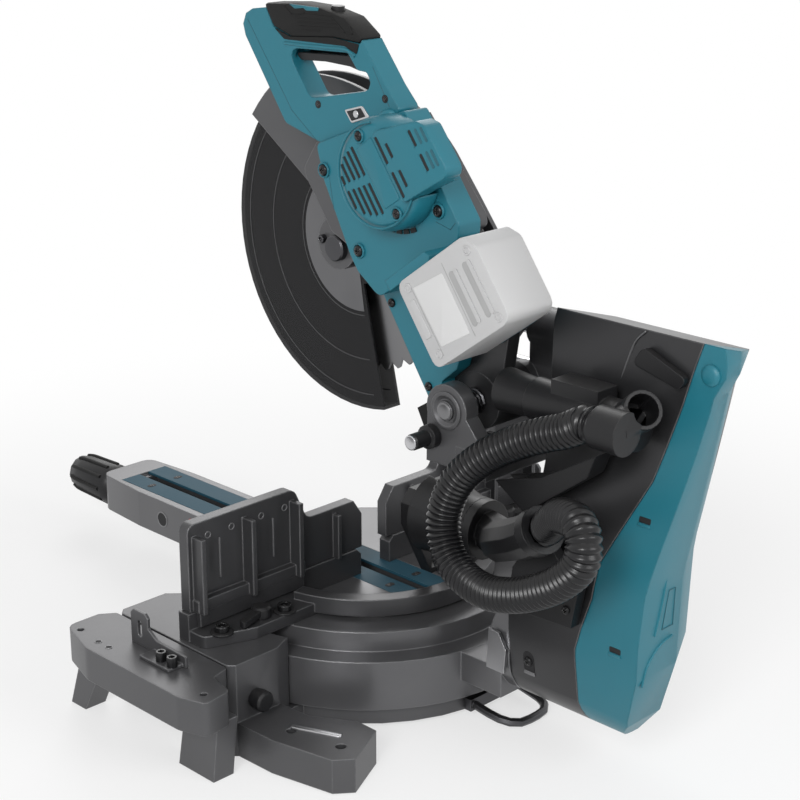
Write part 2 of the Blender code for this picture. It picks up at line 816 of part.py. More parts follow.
def make_arm(frame, paint, latch_axis):
    side = [
        (0.258, 0.300),
        (0.2565, 0.205),
        (BEVEL_FRONT, 0.150),
        (BEVEL_FRONT, 0.030),
        *ARM_SEAM,
        (0.256, 0.430),
        (0.250, 0.404),
        (0.2505, 0.360),
    ]
    arm = plate("bevel_arm", side, -0.1, 0.1, "X")
    within(arm, plate("arm_outline", arm_front_view(), 0.20, 0.45, "Y"))
    room = [
        (0.0450, 0.150),
        (0.0360, 0.235),
        (0.0170, 0.320),
        (0.0110, 0.360),
        (0.0090, 0.4055),
        (-0.052, 0.3870),
        (-0.052, 0.290),
        (-0.050, 0.180),
        (-0.045, 0.150),
    ]
    cut(arm, plate("arm_room", room, 0.2875, 0.5, "Y"))
    for word, z in (("low", POLE_LOW_Z), ("high", POLE_HIGH_Z)):
        ends = (POLE_X, 0.23, z), (POLE_X, POLE_BACK + GAP, z)
        cut(arm, rod(f"{word}_pole_bore", POLE_R + RUN, *ends, 16))
    fuse(arm, rod("latch_boss", 0.006, (0.010, 0.350, 0.394), (0.0211 - GAP, 0.350, 0.394), 20))
    cut(arm, rod("arm_bevel_bore", BEVEL_SHAFT_R + RUN, (0, 0.23, TABLE_Z), (0, 0.304, TABLE_Z), 16))
    cut(arm, rear_slope("arm_slope"))
    finish(arm, paint["cast"])

    seam = [(y + 0.0006, z) for y, z in ARM_SEAM]
    cover = plate("rear_cover", [*seam, *COVER_BACK], -0.1, 0.1, "X")
    within(cover, plate("cover_outline", arm_front_view(), 0.20, 0.45, "Y"))
    room = [(0.28, 0.062), (0.28, 0.411), *[(y - 0.0045, z) for y, z in COVER_BACK[1:9]]]
    inner = plate("cover_room", room, -0.09, 0.09, "X")
    within(inner, plate("cover_room_outline", arm_front_view(0.004), 0.20, 0.45, "Y"))
    cut(inner, rear_slope("cover_room_slope", 0.003))
    cut(cover, inner)
    cut(cover, rear_slope("cover_slope"))
    finish(cover, paint["teal"])

    for word, z in (("lower", POLE_LOW_Z), ("upper", POLE_HIGH_Z)):
        ends = (POLE_X, POLE_FRONT, z), (POLE_X, POLE_BACK, z)
        finish(rod(word + "_slide_pole", POLE_R, *ends, 20), paint["steel"])
    middle = (POLE_LOW_Z + POLE_HIGH_Z) / 2
    ends = rounded(
        [
            (POLE_X - 0.016, middle - 0.040, 0.012),
            (POLE_X + 0.016, middle - 0.040, 0.012),
            (POLE_X + 0.016, middle + 0.040, 0.012),
            (POLE_X - 0.016, middle + 0.040, 0.012),
        ]
    )
    front = POLE_FRONT - GAP
    finish(plate("pole_end_plate", ends, front - 0.012, front, "Y"), paint["cast"])

    mouth = [(0.008, 0.116), (0.036, 0.172), (0.036, 0.194), (0.025, 0.206)]
    mouth = [*mouth, *mirrored(mouth)]
    nozzle = plate("dust_nozzle", mouth, 0.082, 0.0965, "Y")
    centre = NOZZLE_Z
    fuse(nozzle, rod("nozzle_cone", 0.040, (0, 0.0935, centre), (0, 0.1405, centre), 24, NOZZLE_R))
    fuse(nozzle, rod("nozzle_neck", NOZZLE_R, (0, 0.138, centre), (0, 0.152, centre), 24))
    inside = plate("mouth_room", grown(mouth, -NOZZLE_WALL), 0.07, 0.0945, "Y")
    cut(nozzle, inside)
    thin = NOZZLE_WALL
    ends = (0, 0.0925, centre), (0, 0.1405, centre)
    cut(nozzle, rod("cone_room", 0.040 - thin, *ends, 24, NOZZLE_R - thin))
    cut(nozzle, rod("neck_room", NOZZLE_R - thin, (0, 0.139, centre), (0, 0.170, centre), 24))
    cut(nozzle, block("blade_way_low", (-0.008, 0.07, 0.1215), (0.008, 0.109, 0.25)))
    cut(nozzle, block("blade_way_high", (-0.0085, 0.10, 0.152), (0.0085, 0.134, 0.25)))
    finish(nozzle, paint["black"])

    bend = [
        (0, 0.1523, centre),
        (0, 0.164, centre),
        (0.010, 0.184, 0.1800),
        (0.030, 0.204, 0.1885),
        (0.050, 0.2225, 0.2005),
        (0.066, 0.2450, 0.2130),
        (0.076, 0.2680, 0.2245),
        (0.0810, 0.2850, 0.2345),
        (0.0842, 0.2990, 0.2440),
    ]
    route = smooth_route(bend, 0.013)
    port = pipe("hose_port", route, PORT_R, 3)
    last = (Vector(bend[-1]) - Vector(bend[-2])).normalized()
    collar = [Vector(bend[-1]) - last * 0.012, Vector(bend[-1])]
    fuse(port, rod("port_collar", PORT_R + 0.002, collar[0], collar[1], 22))
    first = (0, 0.1523, centre), (0, 0.162, centre)
    fuse(port, rod("port_socket", NOZZLE_R, *first, 22))
    gusset = [
        (0.246, 0.150),
        (0.252, 0.190),
        (0.268, 0.215),
        (0.290, 0.228),
        (0.300, 0.215),
        (0.326, 0.190),
        (0.319, 0.153),
    ]
    fuse(port, plate("gusset", gusset, 0.0570, 0.0680, "X"))
    bore = [Vector((0, 0.148, centre)), *route[1:-1], Vector(bend[-1]) + collar[1] - collar[0]]
    cut(port, pipe("port_bore", bore, PORT_R - PORT_WALL, 2))
    finish(port, paint["black"])

    shape = [(0.2285, 0.2645), (0.262, 0.243), (0.330, 0.294), (0.338, 0.315), (0.280, 0.2805)]
    scoop = plate("dust_scoop", shape, 0.0440, 0.0660, "X")
    inside = [
        (0.205, 0.2680),
        (0.245, 0.2380),
        (0.262, 0.2475),
        (0.318, 0.2900),
        (0.322, 0.3010),
        (0.279, 0.2765),
    ]
    cut(scoop, plate("scoop_room", inside, 0.0465, 0.0635, "X"))
    finish(scoop, paint["black"])
    attach(frame)

    shape = rounded(
        [(0.342, 0.388, 0.004), (0.390, 0.376, 0.004), (0.397, 0.386, 0.004), (0.352, 0.404, 0.006)]
    )
    finish(plate("bevel_latch", shape, 0.0211, 0.0275, "X"), paint["black"])
    attach(latch_axis)


HOSE_ROUTE = [
    (0.0844, 0.2997, 0.2445),
    (0.0858, 0.3059, 0.2487),
    (0.0935, 0.3180, 0.2600),
    (0.1060, 0.3360, 0.2735),
    (0.1220, 0.3660, 0.2810),
    (0.1300, 0.3800, 0.2700),
    (0.1320, 0.3777, 0.2501),
    (0.1320, 0.3572, 0.2283),
    (0.1310, 0.3319, 0.2120),
    (0.1300, 0.3057, 0.2004),
    (0.1280, 0.2777, 0.1934),
    (0.1250, 0.2500, 0.1955),
    (0.1220, 0.2290, 0.2060),
    (0.1175, 0.2155, 0.2250),
    (0.1130, 0.2130, 0.2480),
    (0.1080, 0.2239, 0.2755),
    (0.1020, 0.2450, 0.2985),
    (0.0960, 0.2726, 0.3170),
    (0.0915, 0.3000, 0.3305),
    (0.0885, 0.3240, 0.3400),
    (0.0880, 0.3370, 0.3475),
    (0.0880, 0.3440, 0.3513),
    (0.0880, 0.3510, 0.3517),
    (0.0880, 0.3540, 0.3517),
    (0.0880, 0.3569, 0.3517),
]


def report_gap(name, route, radius, apart):
    """Prints a tube's least gap to itself, between points at least this many steps apart."""
    least = 1.0
    for index, here in enumerate(route):
        for other in route[index + apart :]:
            least = min(least, (here - other).length - 2 * radius)
    print(f"{name}: least gap to itself {least * 1000:.1f} mm")


def make_hose(frame, paint):
    route = smooth_route(HOSE_ROUTE, HOSE_PITCH / 2)
    if len(route) % 2:
        route = route[:-2] + route[-1:]
    crest = 1.0
    valley = (HOSE_R - HOSE_VALLEY) / HOSE_R
    radii = [crest if index % 2 else valley for index in range(len(route))]
    hose = pipe("dust_hose", route, HOSE_R, 2, radii)
    first = route[0] + (route[0] - route[1]).normalized() * 0.01
    last = route[-1] + (route[-1] - route[-2]).normalized() * 0.01
    plain = smooth_route(HOSE_ROUTE, 0.012)
    cut(hose, pipe("hose_bore", [first, *plain, last], HOSE_BORE_R, 2))
    finish(hose, paint["hose"])
    report_gap(f"dust_hose, {len(route) // 2} ribs", route, HOSE_R, 28)
    attach(frame)


def make_carriage(frame, paint, pin_axis, knob_axis):
    beam = block("slide_carriage", (LEFT_EAR_OUT, 0.186, 0.262), (EAR_OUT, 0.222, 0.2865))
    ear = [
        (0.150, 0.2645),
        (0.2215, 0.2645),
        (0.2215, 0.286),
        *arc((PIVOT_Y, PIVOT_Z), EAR_R, -8, 196, 14),
    ]
    fuse(beam, plate("right_ear", ear, EAR_IN, EAR_OUT - 0.0003, "X"))
    fuse(beam, plate("left_ear", ear, LEFT_EAR_OUT - 0.004, LEFT_EAR_IN, "X"))
    wall = (-0.0635, BEARING_FRONT + 0.001, 0.304), (-0.0335, 0.2235, POLE_HIGH_Z)
    fuse(beam, block("carriage_wall", *wall))
    for word, z in (("low", POLE_LOW_Z), ("high", POLE_HIGH_Z)):
        ends = (POLE_X, BEARING_FRONT, z), (POLE_X, BEARING_BACK, z)
        fuse(beam, rod(f"{word}_bearing", BEARING_R, *ends, 22))
    for word, z in (("low", POLE_LOW_Z), ("high", POLE_HIGH_Z)):
        ends = (POLE_X, 0.1, z), (POLE_X, 0.3, z)
        cut(beam, rod(f"{word}_bearing_bore", POLE_R + RUN, *ends, 16))
    ends = (-0.045, PIVOT_Y, PIVOT_Z), (0.1, PIVOT_Y, PIVOT_Z)
    cut(beam, rod("ear_bore", PIVOT_SHAFT_R + RUN, (-0.0375, *ends[0][1:]), ends[1], 16))
    cut(beam, rod("pin_bore", 0.004 + RUN, (0.050, 0.158, 0.290), (0.1, 0.158, 0.290), 12))
    finish(beam, paint["cast"])
    ends = (LEFT_EAR_OUT, PIVOT_Y, PIVOT_Z), (EAR_OUT + 0.002, PIVOT_Y, PIVOT_Z)
    finish(rod("pivot_shaft", PIVOT_SHAFT_R, *ends, 20), paint["steel"])
    turns = []
    for index in range(SPRING_CURLS * SPRING_POINTS + 1):
        angle = 2 * math.pi * index / SPRING_POINTS
        x = SPRING_LEFT + SPRING_PITCH * index / SPRING_POINTS
        y, z = SPRING_R * math.cos(angle), SPRING_R * math.sin(angle)
        turns.append(Vector((x, PIVOT_Y + y, PIVOT_Z + z)))
    report_gap(f"return_spring, {SPRING_CURLS} curls", turns, SPRING_WIRE_R, SPRING_POINTS // 2 + 1)
    finish(pipe("return_spring", turns, SPRING_WIRE_R, 1), paint["dark_steel"])
    attach(frame)

    profile = [
        (-0.012, 0),
        (-0.012, 0.004),
        (0, 0.004),
        (0, 0.011),
        (0.008, 0.011),
        (0.009, 0.0075),
        (0.026, 0.0075),
        (0.028, 0.0055),
        (0.028, 0),
    ]
    start = (EAR_OUT + GAP, 0.158, 0.290)
    finish(turned("stopper_pin", profile, start, (1, *start[1:]), 16), paint["black"])
    attach(pin_axis)
    profile = [(0, 0), (0, 0.008), (0.004, 0.011), (0.014, 0.011), (0.016, 0.009), (0.016, 0)]
    start = (EAR_OUT + GAP, 0.210, 0.2745)
    finish(turned("slide_lock_knob", profile, start, (1, *start[1:]), 16), paint["black"])
    attach(knob_axis)


BLADE_AT = (BLADE_U, BLADE_V)
HOUSING_TOP = [(0.116, 0.238), (0.000, 0.269)]
HANDLE_OUT = [
    (0.000, 0.2694, 0),
    (0.106, 0.2411, 0.004),
    (0.1025, 0.268, 0.006),
    (0.1005, 0.318, 0.010),
    (0.0935, 0.3385, 0.012),
    (0.0444, 0.385, 0.05),
    (-0.030, 0.4255, 0.016),
    (-0.031, 0.307, 0.01),
]
HANDLE_HOLE = [
    (0.011, 0.3615, 0.008),
    (0.012, 0.308, 0.010),
    (0.0890, 0.2722, 0.008),
    (0.0890, 0.2900, 0.003),
    (0.0800, 0.2975, 0.003),
    (0.0785, 0.3157, 0.002),
]
TRIGGER_WAY = [
    (0.0118, 0.350),
    (0.0118, 0.3675),
    (0.0300, 0.3552),
    (0.0830, 0.3195),
    (0.0910, 0.3120),
    (0.0910, 0.2850),
    (0.0780, 0.2850),
]
GRIP = [
    (0.010, 0.4085),
    (0.0444, 0.387),
    (0.072, 0.3655),
    (0.0935, 0.3420),
    (0.1025, 0.3160),
    (0.0965, 0.3140),
    (0.070, 0.336),
    (0.0225, 0.3655),
    (0.008, 0.385),
]


def case_rim(start, end, steps):
    """The blade case's rim, which draws in from the guard's radius to the blade's behind the handle."""
    found = []
    for index in range(steps):
        degrees = start + (end - start) * index / (steps - 1)
        drawn = min(1.0, max(0.0, (90 - degrees) / 60))
        radius = CASE_R - (CASE_R - CASE_REAR_R) * math.sin(drawn * math.pi / 2)
        a, b = polar(radius, degrees)
        found.append((BLADE_U + a, BLADE_V + b))
    return found


def make_head(frame, paint, axes):
    """The grey castings, teal housings and handle that chop with the head."""
    hub = (HUB_LEFT, 0, 0), (HUB_RIGHT, 0, 0)
    arm = rod("head_arm", HUB_R, *hub, 32)
    shape = rounded(
        [
            (-0.026, -0.006, 0),
            (0.024, -0.012, 0),
            (0.066, 0.030, 0.01),
            (0.090, 0.060, 0.01),
            (0.082, 0.130, 0.0),
            (-0.030, 0.130, 0.0),
            (-0.035, 0.060, 0.01),
        ]
    )
    low = CASE_HALF + GAP
    fuse(arm, plate("head_plate", shape, low, HUB_RIGHT - 0.0002, "X"))
    cut(arm, rod("hub_bore", PIVOT_SHAFT_R + RUN, (-0.1, 0, 0), (0.1, 0, 0), 16))
    finish(arm, paint["cast_gloss"])

    case = [
        *case_rim(108, 6, 22),
        (0.0675, 0.1650),
        (0.0690, 0.1281),
        (0.0740, 0.0880),
        (0.0660, 0.0460),
        (0.0300, 0.0345),
        (-0.0120, 0.0340),
    ]
    top = plate("blade_case", case, -CASE_HALF, CASE_HALF, "X")
    wall = CASE_WALL
    room = [
        (0.1200, 0.4000),
        (0.1200, 0.1000),
        (0.0695, 0.0960),
        (0.0630, 0.0495),
        (0.0300, 0.0385),
        (-0.0120, 0.0380),
        (-0.2000, 0.0380),
        (-0.2700, 0.2000),
        (-0.2000, 0.4000),
    ]
    cut(top, plate("case_room", room, -CASE_HALF + wall, CASE_HALF - wall, "X"))
    ends = (-0.05, *BLADE_AT), (0.05, *BLADE_AT)
    cut(top, rod("case_hub", 0.027, *ends, 24))
    finish(top, paint["cast"])

    flap = [
        (-0.0274, 0.004),
        (-0.034, 0.024),
        (-0.096, 0.0275),
        (-0.099, 0.006),
        (-0.060, -0.0012),
        (-0.0274, -0.0048),
    ]
    finish(plate("dust_flap", flap, -0.012, 0.012, "X"), paint["rubber"])

    gear = rounded(
        [
            (-0.060, 0.205, 0.008),
            (-0.036, 0.165, 0.008),
            (-0.030, 0.1303, 0.0),
            (0.090, 0.1303, 0.006),
            (0.0940, 0.1400, 0.006),
            (0.0860, 0.2450, 0.0),
            (0.000, 0.2684, 0.0),
            (-0.027, 0.2820, 0.004),
            (-0.060, 0.2700, 0.010),
        ]
    )
    box = plate("gear_case", gear, low, GEAR_RIGHT, "X")
    fuse(box, rod("arbor_hub", BOSS_R + 0.004, (low, *BLADE_AT), (0.036, *BLADE_AT), 28))
    fuse(box, rod("guard_boss", BOSS_R, (GUARD_HALF - GUARD_WALL, *BLADE_AT), (0.02, *BLADE_AT), 28))
    cut(box, rod("arbor_bore", ARBOR_R + RUN, (-0.05, *BLADE_AT), (0.0315, *BLADE_AT), 16))
    finish(box, paint["cast"])

    shell = rounded(
        [
            (-0.021, 0.150, 0.010),
            (-0.010, 0.118, 0.010),
            (0.108, 0.118, 0.008),
            (0.116, 0.128, 0.006),
            (*HOUSING_TOP[0], 0.004),
            (*HOUSING_TOP[1], 0.006),
            (-0.011, 0.237, 0.02),
            (-0.021, 0.166, 0.02),
        ]
    )
    housing = plate("motor_housing", shell, GEAR_RIGHT + GAP, SHELL_RIGHT, "X")
    finish(soften(housing, 0.0025), paint["teal"])

    foot = [(0.1020, 0.1660), (0.1390, 0.1600), (0.1390, 0.2065), (0.1020, 0.2220)]
    face = rounded(
        [
            (0.0985, 0.1630, 0.004),
            (0.1600, 0.1570, 0.008),
            (0.1585, 0.2040, 0.006),
            (0.1520, 0.2120, 0.006),
            (0.0985, 0.2310, 0.006),
        ]
    )
    start = (SHELL_RIGHT + GAP, MOTOR_U, MOTOR_V)
    profile = [
        (0, 0),
        (0, MOTOR_R),
        (0.018, MOTOR_R),
        (0.023, MOTOR_R - 0.003),
        (MOTOR_DEEP - 0.0005, MOTOR_R - 0.0085),
        (MOTOR_DEEP, MOTOR_R - 0.012),
        (MOTOR_DEEP, 0),
    ]
    cover = turned("motor_cover", profile, start, (1, *start[1:]), 32)
    cut(cover, plate("box_room", grown(face, GAP), SHELL_RIGHT - 0.01, BOX_RIGHT + 0.01, "X"))
    finish(cover, paint["teal"])

    box = plate("controller_box", face, BOX_STEP, BOX_RIGHT, "X")
    fuse(box, plate("controller_foot", foot, start[0], BOX_STEP + 0.002, "X"))
    finish(soften(box, 0.003), paint["teal"])

    strip = [
        (-0.033, 0.1298),
        (-0.037, 0.002),
        (-0.030, -0.001),
        (-0.026, 0.012),
        (-0.012, 0.0285),
        (0.012, 0.0305),
        (0.038, 0.050),
        (0.030, 0.090),
        (0.012, 0.1298),
    ]
    finish(plate("side_cover", strip, HUB_RIGHT + GAP, 0.0495, "X"), paint["teal"])

    holder = rounded(
        [
            (0.041, 0.1176, 0.0),
            (0.041, 0.046, 0.008),
            (0.058, 0.031, 0.008),
            (0.116, 0.031, 0.008),
            (0.116, 0.088, 0.008),
            (0.100, 0.1176, 0.008),
        ]
    )
    mount = plate("battery_holder", holder, HUB_RIGHT + 0.0025, BATTERY_LEFT - GAP, "X")
    lip = [(0.041, 0.1075), (0.098, 0.1075), (0.102, 0.112), (0.098, 0.1176), (0.041, 0.1176)]
    fuse(mount, plate("holder_lip", lip, 0.040, 0.112, "X"))
    finish(mount, paint["teal"])

    outline = rounded(HANDLE_OUT)
    loop = plate("d_handle", outline, HANDLE_LEFT, HANDLE_RIGHT, "X", [rounded(HANDLE_HOLE)])
    soften(loop, 0.004, 1)
    cut(loop, plate("trigger_way", TRIGGER_WAY, TRIGGER_LEFT - 0.0006, TRIGGER_RIGHT + 0.0006, "X"))
    room = grown(GRIP, GAP)
    cut(loop, plate("grip_room", [*room[:1], (0.05, 0.45), (0.16, 0.36), *room[4:]], 0, 0.1, "X"))
    finish(loop, paint["teal"])
    grip = plate("handle_grip", GRIP, HANDLE_LEFT - 0.001, HANDLE_RIGHT + 0.001, "X")
    soften(grip, 0.005, 2)
    top = Vector((0.06, 0.0786, 0.3572))
    out = Vector((0, 0.632, 0.775)).normalized()
    cut(grip, rod("button_bore", 0.0063, top - out * 0.0095, top + out * 0.02, 20))
    finish(grip, paint["rubber"])
    attach(frame)

    lever = rounded(
        [
            (0.0135, 0.3545, 0.002),
            (0.0165, 0.3445, 0.004),
            (0.044, 0.3265, 0.012),
            (0.068, 0.3075, 0.008),
            (0.078, 0.2965, 0.005),
            (0.087, 0.2965, 0.003),
            (0.089, 0.303, 0.003),
            (0.083, 0.3085, 0.003),
        ]
    )
    finish(plate("trigger", lever, TRIGGER_LEFT, TRIGGER_RIGHT, "X"), paint["black"])
    attach(axes["trigger"])
    finish(rod("lock_off_button", 0.006, top - out * 0.0055, top + out * 0.0042, 20), paint["black"])
    attach(axes["button"])

    shape = rounded(
        [
            (0.058, 0.026, 0.008),
            (0.160, 0.026, 0.010),
            (0.160, 0.094, 0.010),
            (0.150, 0.1070, 0.006),
            (0.058, 0.1070, 0.008),
        ]
    )
    cell = plate("battery", shape, BATTERY_LEFT, BATTERY_RIGHT, "X")
    finish(soften(cell, 0.004, 2), paint["battery"])
    attach(axes["battery"])


def make_duct(frame, paint):
    """The head's dust duct and Y-joint, drawn as they stand at rest."""
    z = 0.343
    front = 0.2235
    back = 0.350
    duct = rod("dust_duct", DUCT_R + 0.001, (DUCT_X, front, z), (DUCT_X, 0.262, z), 22, DUCT_R - 0.002)
    fuse(duct, rod("duct_pipe", DUCT_R, (DUCT_X, 0.258, z), (DUCT_X, back, z), 22))
    fuse(duct, block("duct_box", (DUCT_X - 0.013, 0.284, z), (DUCT_X + 0.013, 0.334, z + 0.026)))
    cut(duct, rod("duct_bore", DUCT_R - 0.004, (DUCT_X, front + 0.004, z), (DUCT_X, back + 0.01, z), 18))
    finish(duct, paint["black"])
    start = (DUCT_X, back + GAP, z)
    joint = rod("dust_joint", DUCT_R + 0.0015, start, (DUCT_X, 0.368, z), 22)
    root = Vector((0.0520, 0.3618, 0.3508))
    mouth = Vector((0.0640, 0.3830, 0.3665))
    ahead = (mouth - root).normalized() * 0.01
    fuse(joint, rod("joint_pipe", MOUTH_R, root, mouth, 22))
    collar = (0.0880, 0.3574, 0.3517), (0.0880, 0.3860, 0.3517)
    fuse(joint, rod("joint_collar", HOSE_R + 0.003, *collar, 22))
    branch = (0.0880, 0.3722, 0.3525), (0.0590, 0.3742, 0.3580)
    fuse(joint, rod("joint_branch", HOSE_R - 0.001, *branch, 18))
    cut(joint, rod("joint_bore", MOUTH_R - 0.003, root, mouth + ahead, 18))
    cut(joint, rod("ring_bore", DUCT_R - 0.004, (DUCT_X, 0.34, z), (DUCT_X, 0.3650, z), 18))
    cut(joint, rod("collar_bore", 0.0120, (0.0880, 0.34, 0.3517), (0.0880, 0.3820, 0.3517), 18))
    cut(joint, rod("branch_bore", 0.0105, *branch, 16))
    finish(joint, paint["black"])
    attach(frame, at_rest=True)


def make_cutting(paint, axes):
    """Blade, arbor and lower guard, all about the arbor's axis."""
    teeth = []
    for index in range(BLADE_TEETH):
        start = 360 * index / BLADE_TEETH
        for turn, radius in ((0.0, BLADE_R), (1.6, BLADE_R - 0.001), (4.4, BLADE_R - 0.008)):
            a, b = polar(radius, start + turn)
            teeth.append((BLADE_U + a, BLADE_V + b))
    bore = arc(BLADE_AT, BORE_R, 0, 342, 19)
    finish(plate("saw_blade", teeth, -BLADE_HALF, BLADE_HALF, "X", [bore]), paint["blade"])
    attach(axes["blade"])
    half = BLADE_HALF
    profile = [
        (-half, 0),
        (-half, BORE_R - RUN),
        (half + GAP, BORE_R - RUN),
        (half + GAP, 0.0195),
        (0.006, 0.0195),
        (0.006, ARBOR_R),
        (0.030, ARBOR_R),
        (0.030, 0),
    ]
    finish(turned("arbor", profile, (0, *BLADE_AT), (1, *BLADE_AT), 20), paint["steel"])
    profile = [(half + GAP, 0), (half + GAP, 0.0195), (0.0055, 0.0195), (0.0062, 0.0165), (0.0062, 0)]
    clamp = turned("outer_flange", profile, (0, *BLADE_AT), (-1, *BLADE_AT), 20)
    bolt = (-0.0055, *BLADE_AT), (-0.0145, *BLADE_AT)
    fuse(clamp, rod("blade_bolt", 0.0105, *bolt, 6))
    finish(clamp, paint["steel"])
    attach(axes["blade"])

    shape = [*arc(BLADE_AT, GUARD_R, 90, 247, 30), *arc(BLADE_AT, 0.044, 247, 450, 14)]
    guard = plate("lower_guard", shape, -GUARD_HALF, GUARD_HALF, "X")
    inner = GUARD_HALF - GUARD_WALL
    room = [*arc(BLADE_AT, GUARD_R - GUARD_WALL, 80, 259, 34), *arc(BLADE_AT, 0.06, 259, 440, 10)]
    cut(guard, plate("guard_room", room, -inner, inner, "X"))
    cut(guard, rod("guard_bore", BOSS_R + RUN, (-0.03, *BLADE_AT), (0.03, *BLADE_AT), 28))
    finish(guard, paint["guard"])
    attach(axes["guard"])


def main():
    start_scene()
    paint = {
        "cast": material("cast_grey", (0.075, 0.078, 0.082), 0.45, 0.6),
        "cast_gloss": material("cast_dark_gloss", (0.060, 0.062, 0.066), 0.3, 0.6),
        "teal": material("teal_plastic", (0.018, 0.165, 0.215), 0.45),
        "black": material("black_plastic", (0.012, 0.012, 0.013), 0.5),
        "rubber": material("black_rubber", (0.010, 0.010, 0.010), 0.75),
        "hose": material("hose_black", (0.009, 0.009, 0.010), 0.4),
        "kerf": material("kerf_plastic", (0.028, 0.090, 0.130), 0.5),
        "orange": material("orange_plastic", (0.75, 0.25, 0.03), 0.4),
        "zinc": material("zinc_plate", (0.55, 0.55, 0.56), 0.35, 1.0),
        "steel": material("polished_steel", (0.60, 0.60, 0.61), 0.2, 1.0),
        "dark_steel": material("dark_steel", (0.08, 0.08, 0.085), 0.4, 1.0),
        "blade": material("blade_steel", (0.50, 0.50, 0.51), 0.3, 1.0),
        "battery": material("battery_pale", (0.50, 0.50, 0.50), 0.45),
        "guard": material("guard_smoke", (0.10, 0.10, 0.11), 0.2),
    }
    base = axis("saw_base", None, (0, 0, 0))
    base.location = (0, TABLE_SHIFT_Y, 0)
    make_base(base, paint)
    make_fence(base, paint)
    for side, word in ((1, "right"), (-1, "left")):
        axes = {
            "fence": axis(word + "_fence_slide", base, (side * 0.120, FENCE_FRONT, FENCE_LOW_TOP)),
            "lever": axis(word + "_fence_lever_axis", base, (side * LEVER_X, LEVER_Y, 0.104)),
            "wing": axis(word + "_wing_slide", base, (side * WING_IN_X, 0, ROD_Z)),
            "screw": axis(word + "_screw_axis", base, (side * 0.217, BASE_REAR, ROD_Z)),
        }
        make_side(base, paint, side, axes)
    miter = axis("miter_axis", base, (0, 0, TABLE_Z))
    knob = axis("knob_axis", miter, (0, ARM_FRONT, KNOB_Z))
    lever = axis("lock_lever_axis", miter, (0, -0.346, 0.0545))
    make_turntable(miter, paint, knob, lever)
    bevel = axis("bevel_axis", miter, (0, BEVEL_FRONT, TABLE_Z))
    latch = axis("latch_axis", bevel, (0.024, 0.350, 0.394))
    make_arm(bevel, paint, latch)
    make_hose(bevel, paint)
    slide = axis("slide_frame", bevel, (0, PIVOT_Y, PIVOT_Z))
    pin = axis("pin_axis", slide, (EAR_OUT, 0.158, 0.290))
    lock = axis("slide_lock_axis", slide, (EAR_OUT, 0.210, 0.2745))
    make_carriage(slide, paint, pin, lock)
    head = axis("head_pivot", slide, (0, PIVOT_Y, PIVOT_Z), (HEAD_RAISE, 0, 0))
    origin["head_pivot"] = (0, 0, 0)
    head_axes = {
        "trigger": axis("trigger_axis", head, (0.06, 0.086, 0.303)),
        "button": axis("button_axis", head, (0.06, 0.052, 0.3975)),
        "battery": axis("battery_slide", head, (BATTERY_LEFT, 0.052, 0.066)),
        "blade": axis("arbor_axis", head, (0, *BLADE_AT)),
        "guard": axis("guard_axis", head, (0, *BLADE_AT)),
    }
    make_head(head, paint, head_axes)
    make_duct(head, paint)
    make_cutting(paint, head_axes)
    drop = math.acos(
        max(-1, min(1, (TABLE_Z - 0.008 + BLADE_R - PIVOT_Z) / math.hypot(BLADE_U, BLADE_V)))
    ) + math.atan2(BLADE_U, BLADE_V)
    print(f"chop from raised to full depth: {math.degrees(drop - HEAD_RAISE):.2f} degrees")


main()
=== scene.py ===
"""Looks of a cordless sliding miter saw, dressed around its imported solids."""

import logging
import math
from dataclasses import dataclass
from enum import Enum
from functools import cache

import bmesh
import bpy
import numpy as np
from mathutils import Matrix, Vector


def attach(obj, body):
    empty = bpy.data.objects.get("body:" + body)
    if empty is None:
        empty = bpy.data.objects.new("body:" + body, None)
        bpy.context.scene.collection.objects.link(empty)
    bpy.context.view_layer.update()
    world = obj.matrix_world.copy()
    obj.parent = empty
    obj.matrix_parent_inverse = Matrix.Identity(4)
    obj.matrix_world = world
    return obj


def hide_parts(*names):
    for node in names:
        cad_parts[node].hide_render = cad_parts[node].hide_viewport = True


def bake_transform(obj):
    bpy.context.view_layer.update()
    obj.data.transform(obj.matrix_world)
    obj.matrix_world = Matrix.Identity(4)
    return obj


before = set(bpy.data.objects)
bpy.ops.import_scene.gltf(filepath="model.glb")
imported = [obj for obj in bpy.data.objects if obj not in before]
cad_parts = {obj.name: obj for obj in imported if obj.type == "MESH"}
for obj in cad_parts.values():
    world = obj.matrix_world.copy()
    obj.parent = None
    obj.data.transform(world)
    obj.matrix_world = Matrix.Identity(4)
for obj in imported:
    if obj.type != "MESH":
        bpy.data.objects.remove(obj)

LOG = logging.getLogger("miter_saw")
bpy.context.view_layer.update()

Point = tuple[float, float, float]
Flat = tuple[float, float]
Slits = tuple[tuple[float, float, float], ...]
Colour = tuple[float, float, float]

X, Y, Z = (1, 0, 0), (0, 1, 0), (0, 0, 1)
SIDES = (("right", 1), ("left", -1))
PIVOT = (0.2095, 0.3170)  # Y and Z of the head's pivot, where the head's faces are measured from.
UP_ARM = (0, 0.80902, 0.58779)  # The way of a on the head's faces.
HUB = (-0.0755, 0.1975)  # The arbor on the head's right faces.
SUNK = -0.0006  # How deep most pieces are rooted in the face that they sit on.
SHALLOW = -0.0004  # The same for thin lines, rings and arcs.
# The dark holes, slots and grooves are thin sheets of painted shade.
FLUSH = 0.0002  # How far a dark hole or slot stands off its face.
FULL_TURN = 359.9  # Degrees of a ring, which must not quite meet itself.
SEAM = (0.0007, 0.0001)  # Width and height of a moulding's seam.
SMOOTH_ANGLE = math.radians(35)  # Edges that meet flatter than this shade smooth.


